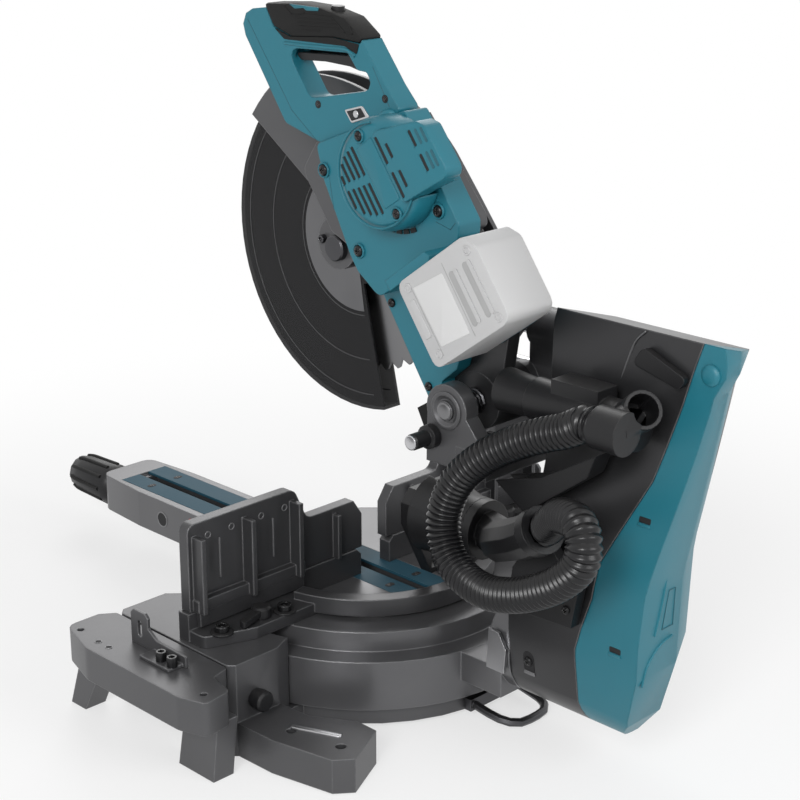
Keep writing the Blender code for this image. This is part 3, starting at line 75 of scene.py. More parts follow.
class Body(Enum):
    """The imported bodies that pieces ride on."""

    BASE = "base"
    RIGHT_FENCE = "right_fence"
    LEFT_FENCE = "left_fence"
    RIGHT_WING = "right_extension"
    LEFT_WING = "left_extension"
    TABLE = "table"
    KNOB = "knob"
    ARM = "bevel_frame"
    CARRIAGE = "carriage"
    HEAD = "head"
    BATTERY = "pack"
    GUARD = "guard"
    PIN = "pin"


def solid(value: float) -> tuple[float, float, float, float]:
    """A grey as an opaque colour."""
    return value, value, value, 1.0


def linked(name: str, data: bpy.types.ID) -> bpy.types.Object:
    """Puts new data into the scene as an object at the origin."""
    obj = bpy.data.objects.new(name, data)
    bpy.context.scene.collection.objects.link(obj)
    return obj


@dataclass
class Graph:
    """A node tree that is filled by short calls."""

    tree: bpy.types.NodeTree

    @classmethod
    def group(cls, name: str, kind: str, inputs: dict[str, str], outputs: dict[str, str]):
        """Opens a new node group.

        Args:
            name: The group's name.
            kind: The class of its tree.
            inputs: Each input's socket type.
            outputs: Each output's socket type.

        Returns:
            The graph, the sockets that it is given and its output node.
        """
        graph = cls(bpy.data.node_groups.new(name, kind))
        for way, sockets in (("INPUT", inputs), ("OUTPUT", outputs)):
            for label, socket in sockets.items():
                graph.tree.interface.new_socket(label, in_out=way, socket_type="NodeSocket" + socket)
        return graph, graph.add("NodeGroupInput").outputs, graph.add("NodeGroupOutput")

    def add(self, kind: str, wires: dict | None = None, **settings) -> bpy.types.Node:
        """Adds a node.

        Args:
            kind: The node's class.
            wires: What feeds each input, as in wire.
            settings: The node's own properties.

        Returns:
            The node.
        """
        node = self.tree.nodes.new(kind)
        for name, value in settings.items():
            setattr(node, name, value)
        self.wire(node, wires or {})
        return node

    def wire(self, node: bpy.types.Node, wires: dict) -> None:
        """Feeds a node's inputs, each by a socket that is linked to it or by a value that it holds."""
        for label, value in wires.items():
            if isinstance(value, bpy.types.NodeSocket):
                self.tree.links.new(value, node.inputs[label])
            else:
                node.inputs[label].default_value = value

    def placed(self, group: bpy.types.NodeTree, wires: dict):
        """Puts a shared group into the tree and returns its output sockets."""
        return self.add("ShaderNodeGroup", wires, node_tree=group).outputs

    def maths(self, operation: str, first, second, clamp: bool = False) -> bpy.types.NodeSocket:
        """Works out one value from two, each a socket or a number."""
        node = self.add("ShaderNodeMath", {0: first, 1: second}, operation=operation, use_clamp=clamp)
        return node.outputs["Value"]

    def mixed(self, factor: bpy.types.NodeSocket, first, second) -> bpy.types.NodeSocket:
        """Mixes two colours; 6, 7 and 2 are the Mix node's colour sockets.

        Args:
            factor: The socket that drives the mix.
            first: A socket or a colour for factor 0.
            second: A socket or a colour for factor 1.

        Returns:
            The socket that holds the mixed colour.
        """
        start, end = ((*part, 1.0) if isinstance(part, tuple) else part for part in (first, second))
        mix = self.add("ShaderNodeMix", {"Factor": factor, 6: start, 7: end}, data_type="RGBA")
        return mix.outputs[2]


class Effects:
    """Shader node groups that several finishes share, each built once."""

    @staticmethod
    @cache
    def grain() -> bpy.types.NodeTree:
        """Moulded or cast grain: fine noise as height, and slow noise as tone.

        Returns:
            The group, with inputs Vector and Scale and outputs Height and Tone.
        """
        graph, given, made = Graph.group(
            "surface_grain", "ShaderNodeTree",
            {"Vector": "Vector", "Scale": "Float"}, {"Height": "Float", "Tone": "Float"},
        )
        at = {"Vector": given["Vector"]}
        fine = graph.add("ShaderNodeTexNoise", {**at, "Scale": given["Scale"], "Detail": 3})
        slow = graph.add("ShaderNodeTexNoise", {**at, "Scale": 14, "Detail": 5})
        graph.wire(made, {"Height": fine.outputs["Fac"], "Tone": slow.outputs["Fac"]})
        return graph.tree

    @staticmethod
    @cache
    def edges() -> bpy.types.NodeTree:
        """Rounded edges: a normal averaged over a small radius, and a mask where it departs from the face.

        Returns:
            The group, with inputs Vector and Radius and outputs Normal and Wear.
        """
        graph, given, made = Graph.group(
            "rounded_edges", "ShaderNodeTree",
            {"Vector": "Vector", "Radius": "Float"}, {"Normal": "Vector", "Wear": "Float"},
        )
        bevel = graph.add("ShaderNodeBevel", {"Radius": given["Radius"]}, samples=4).outputs["Normal"]
        face = graph.add("ShaderNodeNewGeometry").outputs["Normal"]
        dot = graph.add("ShaderNodeVectorMath", {0: bevel, 1: face}, operation="DOT_PRODUCT")
        ramp = graph.add("ShaderNodeMapRange", {
            "Value": dot.outputs["Value"], "From Min": 0.985, "From Max": 0.86,
        })
        patchy = graph.add("ShaderNodeTexNoise", {"Vector": given["Vector"], "Scale": 60, "Detail": 6})
        broken = graph.maths("MULTIPLY", ramp.outputs["Result"], patchy.outputs["Fac"])
        graph.wire(made, {"Normal": bevel, "Wear": broken})
        return graph.tree

    @staticmethod
    @cache
    def dust() -> bpy.types.NodeTree:
        """Fine dust that lies on faces that look up, broken by noise.

        Returns:
            The group, with input Vector and output Mask.
        """
        graph, given, made = Graph.group(
            "settled_dust", "ShaderNodeTree", {"Vector": "Vector"}, {"Mask": "Float"},
        )
        face = graph.add("ShaderNodeNewGeometry").outputs["Normal"]
        height = graph.add("ShaderNodeSeparateXYZ", {"Vector": face}).outputs["Z"]
        up = graph.add("ShaderNodeMapRange", {"Value": height, "From Min": 0.55, "From Max": 1.0})
        noise = graph.add("ShaderNodeTexNoise", {"Vector": given["Vector"], "Scale": 220, "Detail": 4})
        graph.wire(made, {"Mask": graph.maths("MULTIPLY", up.outputs["Result"], noise.outputs["Fac"])})
        return graph.tree


@dataclass(frozen=True)
class Finish:
    """One surface finish, made into a procedural material when it is first used."""

    name: str
    colour: Colour
    shade: Colour
    roughness: float
    metallic: float = 0.0
    grain_scale: float = 900.0
    grain_depth: float = 0.1
    edge_radius: float = 0.0009
    wear: float = 0.15
    wear_colour: Colour = (0.45, 0.45, 0.46)
    dust: float = 0.04
    dust_colour: Colour = (0.42, 0.40, 0.37)
    alpha: float = 1.0
    specular: float = 0.5
    roughness_spread: float = 0.07
    grain_height: float = 0.0003

    @cache
    def material(self) -> bpy.types.Material:
        """Builds the material when it is first asked for.

        Returns:
            A Principled material with grain, tone, edge wear and settled dust.
        """
        made = bpy.data.materials.new("finish_" + self.name)
        made.use_nodes = True
        graph = Graph(made.node_tree)
        at = {"Vector": graph.add("ShaderNodeTexCoord").outputs["Object"]}
        grain = graph.placed(Effects.grain(), {**at, "Scale": self.grain_scale})
        edges = graph.placed(Effects.edges(), {**at, "Radius": self.edge_radius})
        dust = graph.placed(Effects.dust(), at)
        colour = graph.mixed(grain["Tone"], self.shade, self.colour)
        worn = graph.maths("MULTIPLY", edges["Wear"], self.wear * 2, True)
        colour = graph.mixed(worn, colour, self.wear_colour)
        dusty = graph.maths("MULTIPLY", dust["Mask"], self.dust, True)
        rough = graph.add("ShaderNodeMapRange", {
            "Value": grain["Tone"],
            "To Min": max(0.02, self.roughness - self.roughness_spread),
            "To Max": min(1.0, self.roughness + self.roughness_spread),
        })
        bump = graph.add("ShaderNodeBump", {
            "Strength": self.grain_depth, "Distance": self.grain_height,
            "Height": grain["Height"], "Normal": edges["Normal"],
        })
        graph.wire(made.node_tree.nodes["Principled BSDF"], {
            "Base Color": graph.mixed(dusty, colour, self.dust_colour),
            "Metallic": self.metallic, "Specular IOR Level": self.specular, "Alpha": self.alpha,
            "Roughness": rough.outputs["Result"], "Normal": bump.outputs["Normal"],
        })
        return made


TEAL = Finish(
    "teal_moulding", (0.015, 0.160, 0.212), (0.012, 0.140, 0.188), 0.40,
    edge_radius=0.0022, wear=0.05, wear_colour=(0.05, 0.28, 0.34), specular=0.42,
)
# Teal darkened as painted shade for the blind slots; the same colour also draws the dark seam lines.
TEAL_DEEP = Finish("teal_shadow", (0.010, 0.095, 0.128), (0.008, 0.082, 0.110), 0.5, wear=0.0)
CAST = Finish(
    "grey_casting", (0.098, 0.098, 0.102), (0.074, 0.074, 0.078), 0.40, 0.45, 500, 0.14, 0.0018, 0.3,
)
CAST_GLOSS = Finish(
    "bright_casting", (0.135, 0.135, 0.140), (0.100, 0.100, 0.105), 0.32, 0.5, 600, 0.08, 0.0018, 0.3,
)
CAST_DARK = Finish(
    "dark_casting", (0.042, 0.042, 0.044), (0.030, 0.030, 0.032), 0.34, 0.45, 600, 0.08, 0.0020, 0.3,
)
CAST_PALE = Finish(
    "machined_casting", (0.20, 0.20, 0.205), (0.15, 0.15, 0.155), 0.36, 0.6, 500, 0.1, 0.001, 0.25,
)
FENCE = Finish(
    "fence_casting", (0.066, 0.066, 0.069), (0.048, 0.048, 0.051), 0.36, 0.45, 600, 0.08, 0.0020, 0.3,
)
BLACK = Finish(
    "black_moulding", (0.012, 0.012, 0.013), (0.008, 0.008, 0.009), 0.42,
    edge_radius=0.0014, wear=0.08, wear_colour=(0.1, 0.1, 0.1), specular=0.32,
)
RUBBER = Finish(
    "black_overmould", (0.008, 0.008, 0.008), (0.006, 0.006, 0.006), 0.66, 0, 1600, 0.5,
    wear=0.06, wear_colour=(0.08, 0.08, 0.08), specular=0.25,
)
HOSE = Finish(
    "hose_black", (0.008, 0.008, 0.009), (0.005, 0.005, 0.006), 0.30, 0, 700, 0.05, 0.0004,
    wear=0.04, wear_colour=(0.08, 0.08, 0.08), specular=0.36,
)
PALE = Finish(
    "battery_pale", (0.50, 0.50, 0.50), (0.46, 0.46, 0.465), 0.45, 0, 1100, 0.12,
    wear=0.1, wear_colour=(0.75, 0.75, 0.75),
)
# Pale grey darkened as painted shade in the battery's grooves; the same colour also draws its seam lines.
PALE_SHADE = Finish("battery_shade", (0.38, 0.38, 0.38), (0.34, 0.34, 0.34), 0.5, wear=0.0)
LABEL = Finish(
    "label_bare", (0.62, 0.62, 0.62), (0.59, 0.59, 0.59), 0.4, grain_depth=0.03, wear=0.0, dust=0.0,
)
STEEL = Finish(
    "ground_steel", (0.62, 0.62, 0.63), (0.52, 0.52, 0.53), 0.22, 1.0, 400, 0.04, 0.0006,
    wear=0.2, wear_colour=(0.8, 0.8, 0.8),
)
ZINC = Finish(
    "zinc_plate", (0.60, 0.60, 0.61), (0.46, 0.46, 0.48), 0.34, 1.0, 300, 0.08, 0.0006,
    wear=0.2, wear_colour=(0.8, 0.8, 0.8),
)
DARK_STEEL = Finish(
    "dark_steel", (0.10, 0.10, 0.105), (0.06, 0.06, 0.065), 0.38, 1.0, 400, 0.06, 0.0006, 0.25,
)
BLADE_STEEL = Finish(
    "blade_steel", (0.21, 0.21, 0.215), (0.16, 0.16, 0.165), 0.30, 1.0, 250, 0.05, 0.0004,
    wear=0.2, wear_colour=(0.4, 0.4, 0.4),
)
BRUSHED = Finish(
    "brushed_disc", (0.17, 0.17, 0.175), (0.12, 0.12, 0.125), 0.34, 1.0, 260, 0.1, 0.0004,
    wear=0.15, wear_colour=(0.3, 0.3, 0.3),
)
SILVER = Finish("silver_trim", (0.55, 0.55, 0.56), (0.45, 0.45, 0.46), 0.3, 0.9, wear=0.1)
BLACK_SCREW = Finish(
    "black_screw", (0.020, 0.020, 0.021), (0.012, 0.012, 0.013), 0.28, 0.6,
    wear=0.3, wear_colour=(0.3, 0.3, 0.3),
)
KERF = Finish(
    "kerf_moulding", (0.022, 0.080, 0.116), (0.018, 0.068, 0.100), 0.6,
    wear=0.15, wear_colour=(0.1, 0.2, 0.25), dust=0.03, specular=0.2,
)
SMOKE = Finish(
    "smoke_guard", (0.014, 0.014, 0.015), (0.010, 0.010, 0.011), 0.3, 0, 300, 0.02,
    wear=0.05, alpha=0.86, specular=0.2,
)
SMOKE_EDGE = Finish("smoke_edge", (0.035, 0.035, 0.037), (0.028, 0.028, 0.030), 0.25, wear=0.0)
ORANGE = Finish("orange_moulding", (0.80, 0.22, 0.02), (0.62, 0.16, 0.015), 0.35, wear=0.05)
RED = Finish("red_mark", (0.50, 0.02, 0.015), (0.40, 0.015, 0.012), 0.4, wear=0.0)
PRINT = Finish("white_print", (0.75, 0.75, 0.74), (0.66, 0.66, 0.65), 0.5, wear=0.05, dust=0.0)
# Near-black painted shade, laid as thin sheets in holes, slots, wells, vents and the grille under the cap.
SLOT = Finish("vent_shadow", (0.006, 0.006, 0.007), (0.004, 0.004, 0.005), 0.7, wear=0.0, dust=0.0)

NODE_FINISH: dict[Finish, tuple[str, ...]] = {
    TEAL: (
        "battery_holder", "controller_box", "d_handle", "motor_cover", "motor_housing", "rear_cover",
        "side_cover",
    ),
    CAST: (
        "base_casting", "blade_case", "gear_case", "left_stop_plate", "left_wing", "pivot_shaft",
        "pole_end_plate", "right_stop_plate", "right_wing", "slide_carriage",
    ),
    CAST_GLOSS: ("turntable",),
    CAST_DARK: ("bevel_arm", "head_arm"),
    FENCE: ("guide_fence", "left_upper_fence", "right_upper_fence"),
    BLACK: (
        "bevel_latch", "dust_duct", "dust_joint", "dust_nozzle", "dust_scoop", "hose_port",
        "left_fence_lever", "left_thumb_screw", "lock_off_button", "miter_knob", "miter_lock_lever",
        "right_fence_lever", "right_thumb_screw", "slide_lock_knob", "stopper_pin", "trigger",
    ),
    RUBBER: ("dust_flap", "handle_grip"),
    PALE: ("battery",),
    STEEL: ("arbor", "bevel_shaft", "lower_slide_pole", "outer_flange", "upper_slide_pole"),
    ZINC: ("bevel_stop", "left_wing_rod", "right_wing_rod"),
    DARK_STEEL: ("rear_stand", "return_spring"),
    KERF: ("left_kerf_board", "right_kerf_board"),
    SMOKE: ("lower_guard",),
    ORANGE: ("angle_pointer",),
    BLADE_STEEL: ("saw_blade",),
}
NODE_BEVEL = {"battery": 0.003, "controller_box": 0.002}


class Shell:
    """Grows one mesh out of patches that are worked out as whole arrays."""

    def __init__(self) -> None:
        """Starts with no points."""
        self.points: list[np.ndarray] = []
        self.faces: list[list[int]] = []
        self.count = 0

    def grid(self, points: np.ndarray, around: bool = False, capped: bool = False) -> "Shell":
        """Adds a surface p(i, j) on a grid.

        Args:
            points: Rows by columns by 3.
            around: Whether each row closes on itself.
            capped: Whether the first and last rows are filled.

        Returns:
            This shell.
        """
        rows, columns = points.shape[:2]
        index = np.arange(rows * columns).reshape(rows, columns) + self.count
        self.points.append(points.reshape(-1, 3))
        self.count += rows * columns
        ring = np.concatenate([index, index[:, :1]], 1) if around else index
        quads = np.stack([ring[:-1, :-1], ring[:-1, 1:], ring[1:, 1:], ring[1:, :-1]], -1)
        self.faces += quads.reshape(-1, 4).tolist()
        if capped:
            self.faces.append(index[0, ::-1].tolist())
            self.faces.append(index[-1].tolist())
        return self

    def turned(self, profile: list[Flat], base: Point, along: Point, steps: int,
               lobes: int = 0, lobe_rows: tuple[int, ...] = (), depth: float = 0.0) -> "Shell":
        """Spins (height, radius) pairs about an axis; chosen rows wave with the angle, for sockets.

        Args:
            profile: Height along the axis and radius, from the base outwards.
            base: Where height 0 lies.
            along: The axis.
            steps: Points round the axis.
            lobes: Waves round the axis on the lobed rows.
            lobe_rows: Which rows of the profile are lobed.
            depth: The waves' share of the radius.

        Returns:
            This shell.
        """
        height, radius = np.array(profile, float).T
        angle = np.linspace(0, math.tau, steps, endpoint=False)
        wave = np.zeros(len(profile))
        wave[list(lobe_rows)] = depth
        spread = radius[:, None] * (1 + wave[:, None] * np.cos(lobes * angle)[None])
        axis, side, up = Place.axes(along)
        points = (
            np.array(base, float)
            + height[:, None, None] * axis
            + spread[..., None] * (np.cos(angle)[:, None] * side + np.sin(angle)[:, None] * up)
        )
        return self.grid(points, around=True, capped=True)

    def stud(self, profile: list[Flat], place: "Place", a: float, b: float, steps: int, *lobed) -> "Shell":
        """Spins a profile about a face's normal, at a and b along the face; the rest is as in turned."""
        return self.turned(profile, tuple(place.at(a, b, 0)), place.out, steps, *lobed)

    def slab(self, outline: np.ndarray, place: "Place", low: float, high: float,
             round_by: float = 0.0) -> "Shell":
        """Carries an outline from low to high along a place's normal, drawn in at the outer end.

        Args:
            outline: Corners as columns (a, b), anticlockwise.
            place: Where (a, b, height) lie.
            low: Height of the first end.
            high: Height of the last end.
            round_by: Radius of the rounded outer edge.

        Returns:
            This shell.
        """
        steps = np.linspace(0, math.pi / 2, 4) if round_by else np.array([0.0])
        inset = np.concatenate([[0.0], round_by * (1 - np.cos(steps))])
        height = np.concatenate([[low], high - round_by * (1 - np.sin(steps))])
        before, after = np.roll(outline, 1, 0), np.roll(outline, -1, 0)
        run = (after - before) / np.maximum(np.linalg.norm(after - before, axis=1), 1e-9)[:, None]
        inward = np.stack([-run[:, 1], run[:, 0]], 1)
        rings = outline[None] + inset[:, None, None] * inward[None]
        heights = np.broadcast_to(height[:, None], rings.shape[:2])
        return self.grid(place.at(rings[..., 0], rings[..., 1], heights), around=True, capped=True)

    def plate(self, corners: list[Flat], radius: float, place: "Place", *heights: float) -> "Shell":
        """Adds a slab whose corners are softened by a radius; the heights are those of slab."""
        return self.slab(Outline.rounded(corners, radius), place, *heights)

    def line(self, place: "Place", points: list[Flat], width: float, height: float) -> "Shell":
        """Adds a raised line: one slot-shaped slab for each stretch between two points."""
        for first, last in zip(points, points[1:]):
            self.slab(Outline.bar(first, last, width), place, SHALLOW, height)
        return self

    def tube(self, path: np.ndarray, radius: np.ndarray | float, sides: int, across: Point = X) -> "Shell":
        """Carries a circle along a path: p + r(cos t * side + sin t * up), with side square to the path.

        Args:
            path: Points of the middle line.
            radius: One radius, or one for each point.
            sides: Points round the tube.
            across: A direction that the path never runs along.

        Returns:
            This shell.
        """
        run = np.gradient(path, axis=0)
        run /= np.linalg.norm(run, axis=1)[:, None]
        side = np.cross(run, np.array(across, float))
        side /= np.linalg.norm(side, axis=1)[:, None]
        up = np.cross(run, side)
        angle = np.linspace(0, math.tau, sides, endpoint=False)
        size = np.broadcast_to(np.asarray(radius, float), (len(path),))
        ring = np.cos(angle)[None, :, None] * side[:, None] + np.sin(angle)[None, :, None] * up[:, None]
        return self.grid(path[:, None] + size[:, None, None] * ring, around=True, capped=True)

    def mesh(self, name: str) -> bpy.types.Mesh:
        """Makes a mesh out of all the patches."""
        mesh = bpy.data.meshes.new(name)
        mesh.from_pydata(np.concatenate(self.points).tolist(), [], self.faces)
        return mesh

    def piece(self, name: str, finish: Finish, body: Body | None) -> bpy.types.Object:
        """Makes the object, with doubles merged, faces outwards and flat edges shaded smooth.

        Args:
            name: The piece's name.
            finish: Its finish.
            body: What it rides on, or None for a piece that rides on nothing.

        Returns:
            The new piece.
        """
        mesh = self.mesh(name)
        obj = linked(name, mesh)
        Dressing.tidy(mesh)
        mesh.materials.append(finish.material())
        Dressing.smoothed(obj)
        if body:
            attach(obj, body.value)
        LOG.info("piece %s: %d points", name, len(mesh.vertices))
        return obj


@dataclass(frozen=True)
class Place:
    """A spot with its own directions: a and b lie in the face, and height stands off it."""

    origin: Point
    along: Point
    out: Point

    @staticmethod
    def axes(out: Point) -> tuple[np.ndarray, np.ndarray, np.ndarray]:
        """A direction as a unit, with two more square to it."""
        axis = np.array(out, float)
        axis /= np.linalg.norm(axis)
        side = np.cross(np.array(Z if abs(axis[2]) < 0.9 else Y, float), axis)
        side /= np.linalg.norm(side)
        return axis, side, np.cross(axis, side)

    def at(self, a, b, height) -> np.ndarray:
        """The points that lie a and b along the face and height off it."""
        out = np.array(self.out, float)
        out /= np.linalg.norm(out)
        first = np.array(self.along, float)
        first -= out * (first @ out)
        first /= np.linalg.norm(first)
        second = np.cross(out, first)
        a, b, height = (np.asarray(value, float)[..., None] for value in (a, b, height))
        return np.array(self.origin, float) + a * first + b * second + height * out

    def path(self, points: list[Flat], spacing: float) -> np.ndarray:
        """A smooth path on the face through points (a, b)."""
        return smooth_path([tuple(self.at(a, b, 0)) for a, b in points], spacing)


class Dressing:
    """Finishes for meshes: clean-up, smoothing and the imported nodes' own modifiers."""

    MERGE = 1e-6
    SPECK = 1e-7
    WELD = 1e-5
    FLAT = math.radians(1)
    EDGE = math.radians(34)

    @classmethod
    def tidy(cls, mesh: bpy.types.Mesh) -> None:
        """Merges doubles and turns every face outwards."""
        work = bmesh.new()
        work.from_mesh(mesh)
        bmesh.ops.remove_doubles(work, verts=work.verts, dist=cls.MERGE)
        bmesh.ops.dissolve_degenerate(work, edges=work.edges, dist=cls.SPECK)
        bmesh.ops.recalc_face_normals(work, faces=work.faces)
        work.to_mesh(mesh)
        work.free()

    @staticmethod
    @cache
    def by_angle() -> bpy.types.NodeTree:
        """Geometry nodes that shade smooth wherever two faces meet at less than an angle.

        Returns:
            The group, with inputs Geometry and Angle.
        """
        graph, given, made = Graph.group(
            "smooth_by_angle", "GeometryNodeTree",
            {"Geometry": "Geometry", "Angle": "Float"}, {"Geometry": "Geometry"},
        )
        bare = graph.add(
            "GeometryNodeRemoveAttribute", {"Geometry": given["Geometry"], "Name": "custom_normal"},
        ).outputs["Geometry"]
        faces = graph.add("GeometryNodeSetShadeSmooth", {"Geometry": bare}, domain="FACE").outputs["Geometry"]
        meet = graph.add("GeometryNodeInputMeshEdgeAngle").outputs["Unsigned Angle"]
        flat = graph.add(
            "FunctionNodeCompare", {"A": meet, "B": given["Angle"]}, data_type="FLOAT", operation="LESS_THAN",
        ).outputs["Result"]
        edges = graph.add(
            "GeometryNodeSetShadeSmooth", {"Geometry": faces, "Shade Smooth": flat}, domain="EDGE",
        ).outputs["Geometry"]
        graph.wire(made, {"Geometry": edges})
        return graph.tree

    @classmethod
    def smoothed(cls, obj: bpy.types.Object) -> None:
        """Adds the smoothing as a modifier."""
        change = obj.modifiers.new("smooth_by_angle", "NODES")
        change.node_group = cls.by_angle()
        socket = next(item for item in cls.by_angle().interface.items_tree if item.name == "Angle")
        change[socket.identifier] = SMOOTH_ANGLE

    @classmethod
    def node(cls, name: str, finish: Finish, bevel: float) -> None:
        """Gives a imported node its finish, welded and smoothed by modifiers, with its mesh as it was.

        Args:
            name: The node.
            finish: Its finish.
            bevel: Width of the rounded edges, or 0 for none.
        """
        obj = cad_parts[name]
        obj.data.materials.clear()
        obj.data.materials.append(finish.material())
        obj.modifiers.new("weld", "WELD").merge_threshold = cls.WELD
        if bevel:
            flat = obj.modifiers.new("flat_faces", "DECIMATE")
            flat.decimate_type = "DISSOLVE"
            flat.angle_limit = cls.FLAT
            edge = obj.modifiers.new("edges", "BEVEL")
            edge.width = bevel
            edge.segments = 3
            edge.limit_method = "ANGLE"
            edge.angle_limit = cls.EDGE
        cls.smoothed(obj)


def smooth_path(points: list[Point], spacing: float) -> np.ndarray:
    """Even steps along a Catmull-Rom curve through a route's points.

    Args:
        points: The route's given points.
        spacing: Distance between steps.

    Returns:
        Points of the curve, by 3.
    """
    samples = 40
    route = np.array(points, float)
    ends = np.concatenate([[2 * route[0] - route[1]], route, [2 * route[-1] - route[-2]]])
    t = np.linspace(0, 1, samples, endpoint=False)[:, None, None]
    p0, p1, p2, p3 = ends[:-3], ends[1:-2], ends[2:-1], ends[3:]
    curve = 0.5 * (
        2 * p1 + (p2 - p0) * t + (2 * p0 - 5 * p1 + 4 * p2 - p3) * t**2 + (3 * p1 - p0 - 3 * p2 + p3) * t**3
    )
    curve = np.concatenate([curve.transpose(1, 0, 2).reshape(-1, 3), route[-1:]])
    run = np.concatenate([[0], np.cumsum(np.linalg.norm(np.diff(curve, axis=0), axis=1))])
    even = np.linspace(0, run[-1], max(2, round(run[-1] / spacing) + 1))
    return np.stack([np.interp(even, run, curve[:, k]) for k in range(3)], 1)


@dataclass
class Hose:
    """The ribbed dust hose, in two lengths that meet part way along its route.
    """

    radius: float = 0.0155
    valley: float = 0.0022
    pitch: float = 0.0054
    steps: int = 8
    sides: int = 28
    split: float = 0.65
    rise: tuple[Point, Point] = ((0.1125, 0.2929, 0.2033), (0.1125, 0.2496, 0.2507))
    route: tuple[Point, ...] = (
        (0.0844, 0.3352, 0.2445), (0.0858, 0.3414, 0.2487), (0.0935, 0.3535, 0.2600),
        (0.1060, 0.3715, 0.2735), (0.1220, 0.4015, 0.2810), (0.1300, 0.4155, 0.2700),
        (0.1320, 0.4132, 0.2501), (0.1320, 0.3927, 0.2283), (0.1310, 0.3674, 0.2120),
        (0.1300, 0.3412, 0.2004), (0.1280, 0.3132, 0.1934), (0.1250, 0.2855, 0.1955),
        (0.1220, 0.2645, 0.2060), (0.1175, 0.2510, 0.2250), (0.1130, 0.2485, 0.2480),
        (0.1080, 0.2594, 0.2755), (0.1020, 0.2805, 0.2985), (0.0960, 0.3081, 0.3170),
        (0.0915, 0.3355, 0.3305), (0.0885, 0.3595, 0.3400), (0.0880, 0.3725, 0.3475),
        (0.0880, 0.3795, 0.3513), (0.0880, 0.3865, 0.3517), (0.0880, 0.3895, 0.3517),
        (0.0880, 0.3924, 0.3517),
    )

    def build(self) -> None:
        """Makes both lengths: a circle whose radius swells once for each rib, carried along the route."""
        path = smooth_path(self.route, self.pitch / self.steps)
        length = np.arange(len(path)) * np.linalg.norm(path[1] - path[0])
        wave = np.sin(math.pi * length / self.pitch) ** 2
        radius = self.radius - self.valley * (1 - wave**0.7)
        middle = int(len(path) * self.split)
        chop = (tuple(path[middle]), tuple(path[-1]))
        parts = (
            ("dust_hose_lower", slice(0, middle + 1), Body.ARM, Body.CARRIAGE, self.rise),
            ("dust_hose_upper", slice(middle, None), Body.CARRIAGE, Body.HEAD, chop),
        )
        for name, span, first, second, bend in parts:
            line = path[span]
            piece = Shell().tube(line, radius[span], self.sides).piece(name, HOSE, None)
            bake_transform(piece)
            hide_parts("dust_hose")


class Outline:
    """Flat outlines as arrays of corners, anticlockwise."""

    RING_STEPS = 24
    CORNER_STEPS = 5

    @staticmethod
    def ring(middle: Flat, radius: float) -> np.ndarray:
        """A circle: the middle plus the radius times (cos t, sin t)."""
        angle = np.linspace(0, math.tau, Outline.RING_STEPS, endpoint=False)
        return np.array(middle) + radius * np.stack([np.cos(angle), np.sin(angle)], 1)

    @staticmethod
    def bar(start: Flat, end: Flat, width: float, steps: int = 7) -> np.ndarray:
        """A straight slot with half-round ends.

        Args:
            start: The middle of the first end's curve.
            end: The middle of the last end's curve.
            width: The slot's width.
            steps: Points on each end.

        Returns:
            The outline.
        """
        first, last = np.array(start, float), np.array(end, float)
        heading = math.atan2(*(last - first)[::-1])
        sweep = np.linspace(-math.pi / 2, math.pi / 2, steps)
        turn = np.concatenate([heading + sweep, heading + math.pi + sweep])
        middle = np.repeat(np.stack([last, first]), steps, 0)
        return middle + width / 2 * np.stack([np.cos(turn), np.sin(turn)], 1)

    @staticmethod
    def rounded(corners: list[Flat], radius: float) -> np.ndarray:
        """Corners, given either way round, softened by parabolas that reach a radius along their sides."""
        points = np.array(corners, float)
        after = np.roll(points, -1, 0)
        if (points[:, 0] * after[:, 1] - points[:, 1] * after[:, 0]).sum() < 0:
            points = points[::-1]
        back, ahead = np.roll(points, 1, 0) - points, np.roll(points, -1, 0) - points
        back /= np.linalg.norm(back, axis=1)[:, None]
        ahead /= np.linalg.norm(ahead, axis=1)[:, None]
        t = np.linspace(0, 1, Outline.CORNER_STEPS)[None, :, None]
        curve = (1 - t) ** 2 * (points + radius * back)[:, None] + 2 * t * (1 - t) * points[:, None]
        return (curve + t**2 * (points + radius * ahead)[:, None]).reshape(-1, 2)

    @staticmethod
    def sector(middle: Flat, inner: float, outer: float, start: float, end: float,
               steps: int = 40) -> np.ndarray:
        """Part of a ring between two angles in degrees."""
        angle = np.radians(np.linspace(start, end, steps))
        way = np.stack([np.cos(angle), np.sin(angle)], 1)
        return np.array(middle) + np.concatenate([outer * way, inner * way[::-1]])


@dataclass(frozen=True)
class Screw:
    """A pan-head screw whose drive is a lobed recess."""

    radius: float
    height: float
    lobes: int = 4

    def put(self, shell: Shell, place: Place, a: float, b: float) -> None:
        """Spins the head's profile about the face's normal; the recess's rows wave with the angle.

        Args:
            shell: The mesh to add to.
            place: The face.
            a: Distance along the face.
            b: Distance across it.
        """
        r, h = self.radius, self.height
        drum = [(SUNK, r), (0.45 * h, r), (0.8 * h, 0.87 * r), (h, 0.6 * r)]
        recess = [(h, 0.44 * r), (0.4 * h, 0.36 * r)]
        shell.stud(drum + recess, place, a, b, 24, self.lobes, (4, 5), 0.42)


@dataclass(frozen=True)
class Boss:
    """A round boss with a dished top."""

    radius: float
    inner: float
    height: float

    def put(self, shell: Shell, place: Place, a: float, b: float) -> None:
        """Spins a profile that rises, turns in and sinks; the arguments are those of Screw.put."""
        r, h, inner = self.radius, self.height, self.inner
        rows = [(SUNK, r), (0.7 * h, r), (h, r - 0.3 * h), (h, inner), (0.15 * h, 0.93 * inner)]
        shell.stud(rows, place, a, b, 32)


def head_face(x: float, side: int = 1) -> Place:
    """A side of the head, x right of the middle, with a along the arm and b square to it."""
    return Place((x, *PIVOT), UP_ARM, (side, 0, 0))


def top_face(z: float) -> Place:
    """A level face, with a along X and b along Y."""
    return Place((0, 0, z), X, Z)


def right_face(x: float) -> Place:
    """A face that looks right, with a along Y and b along Z."""
    return Place((x, 0, 0), Y, X)


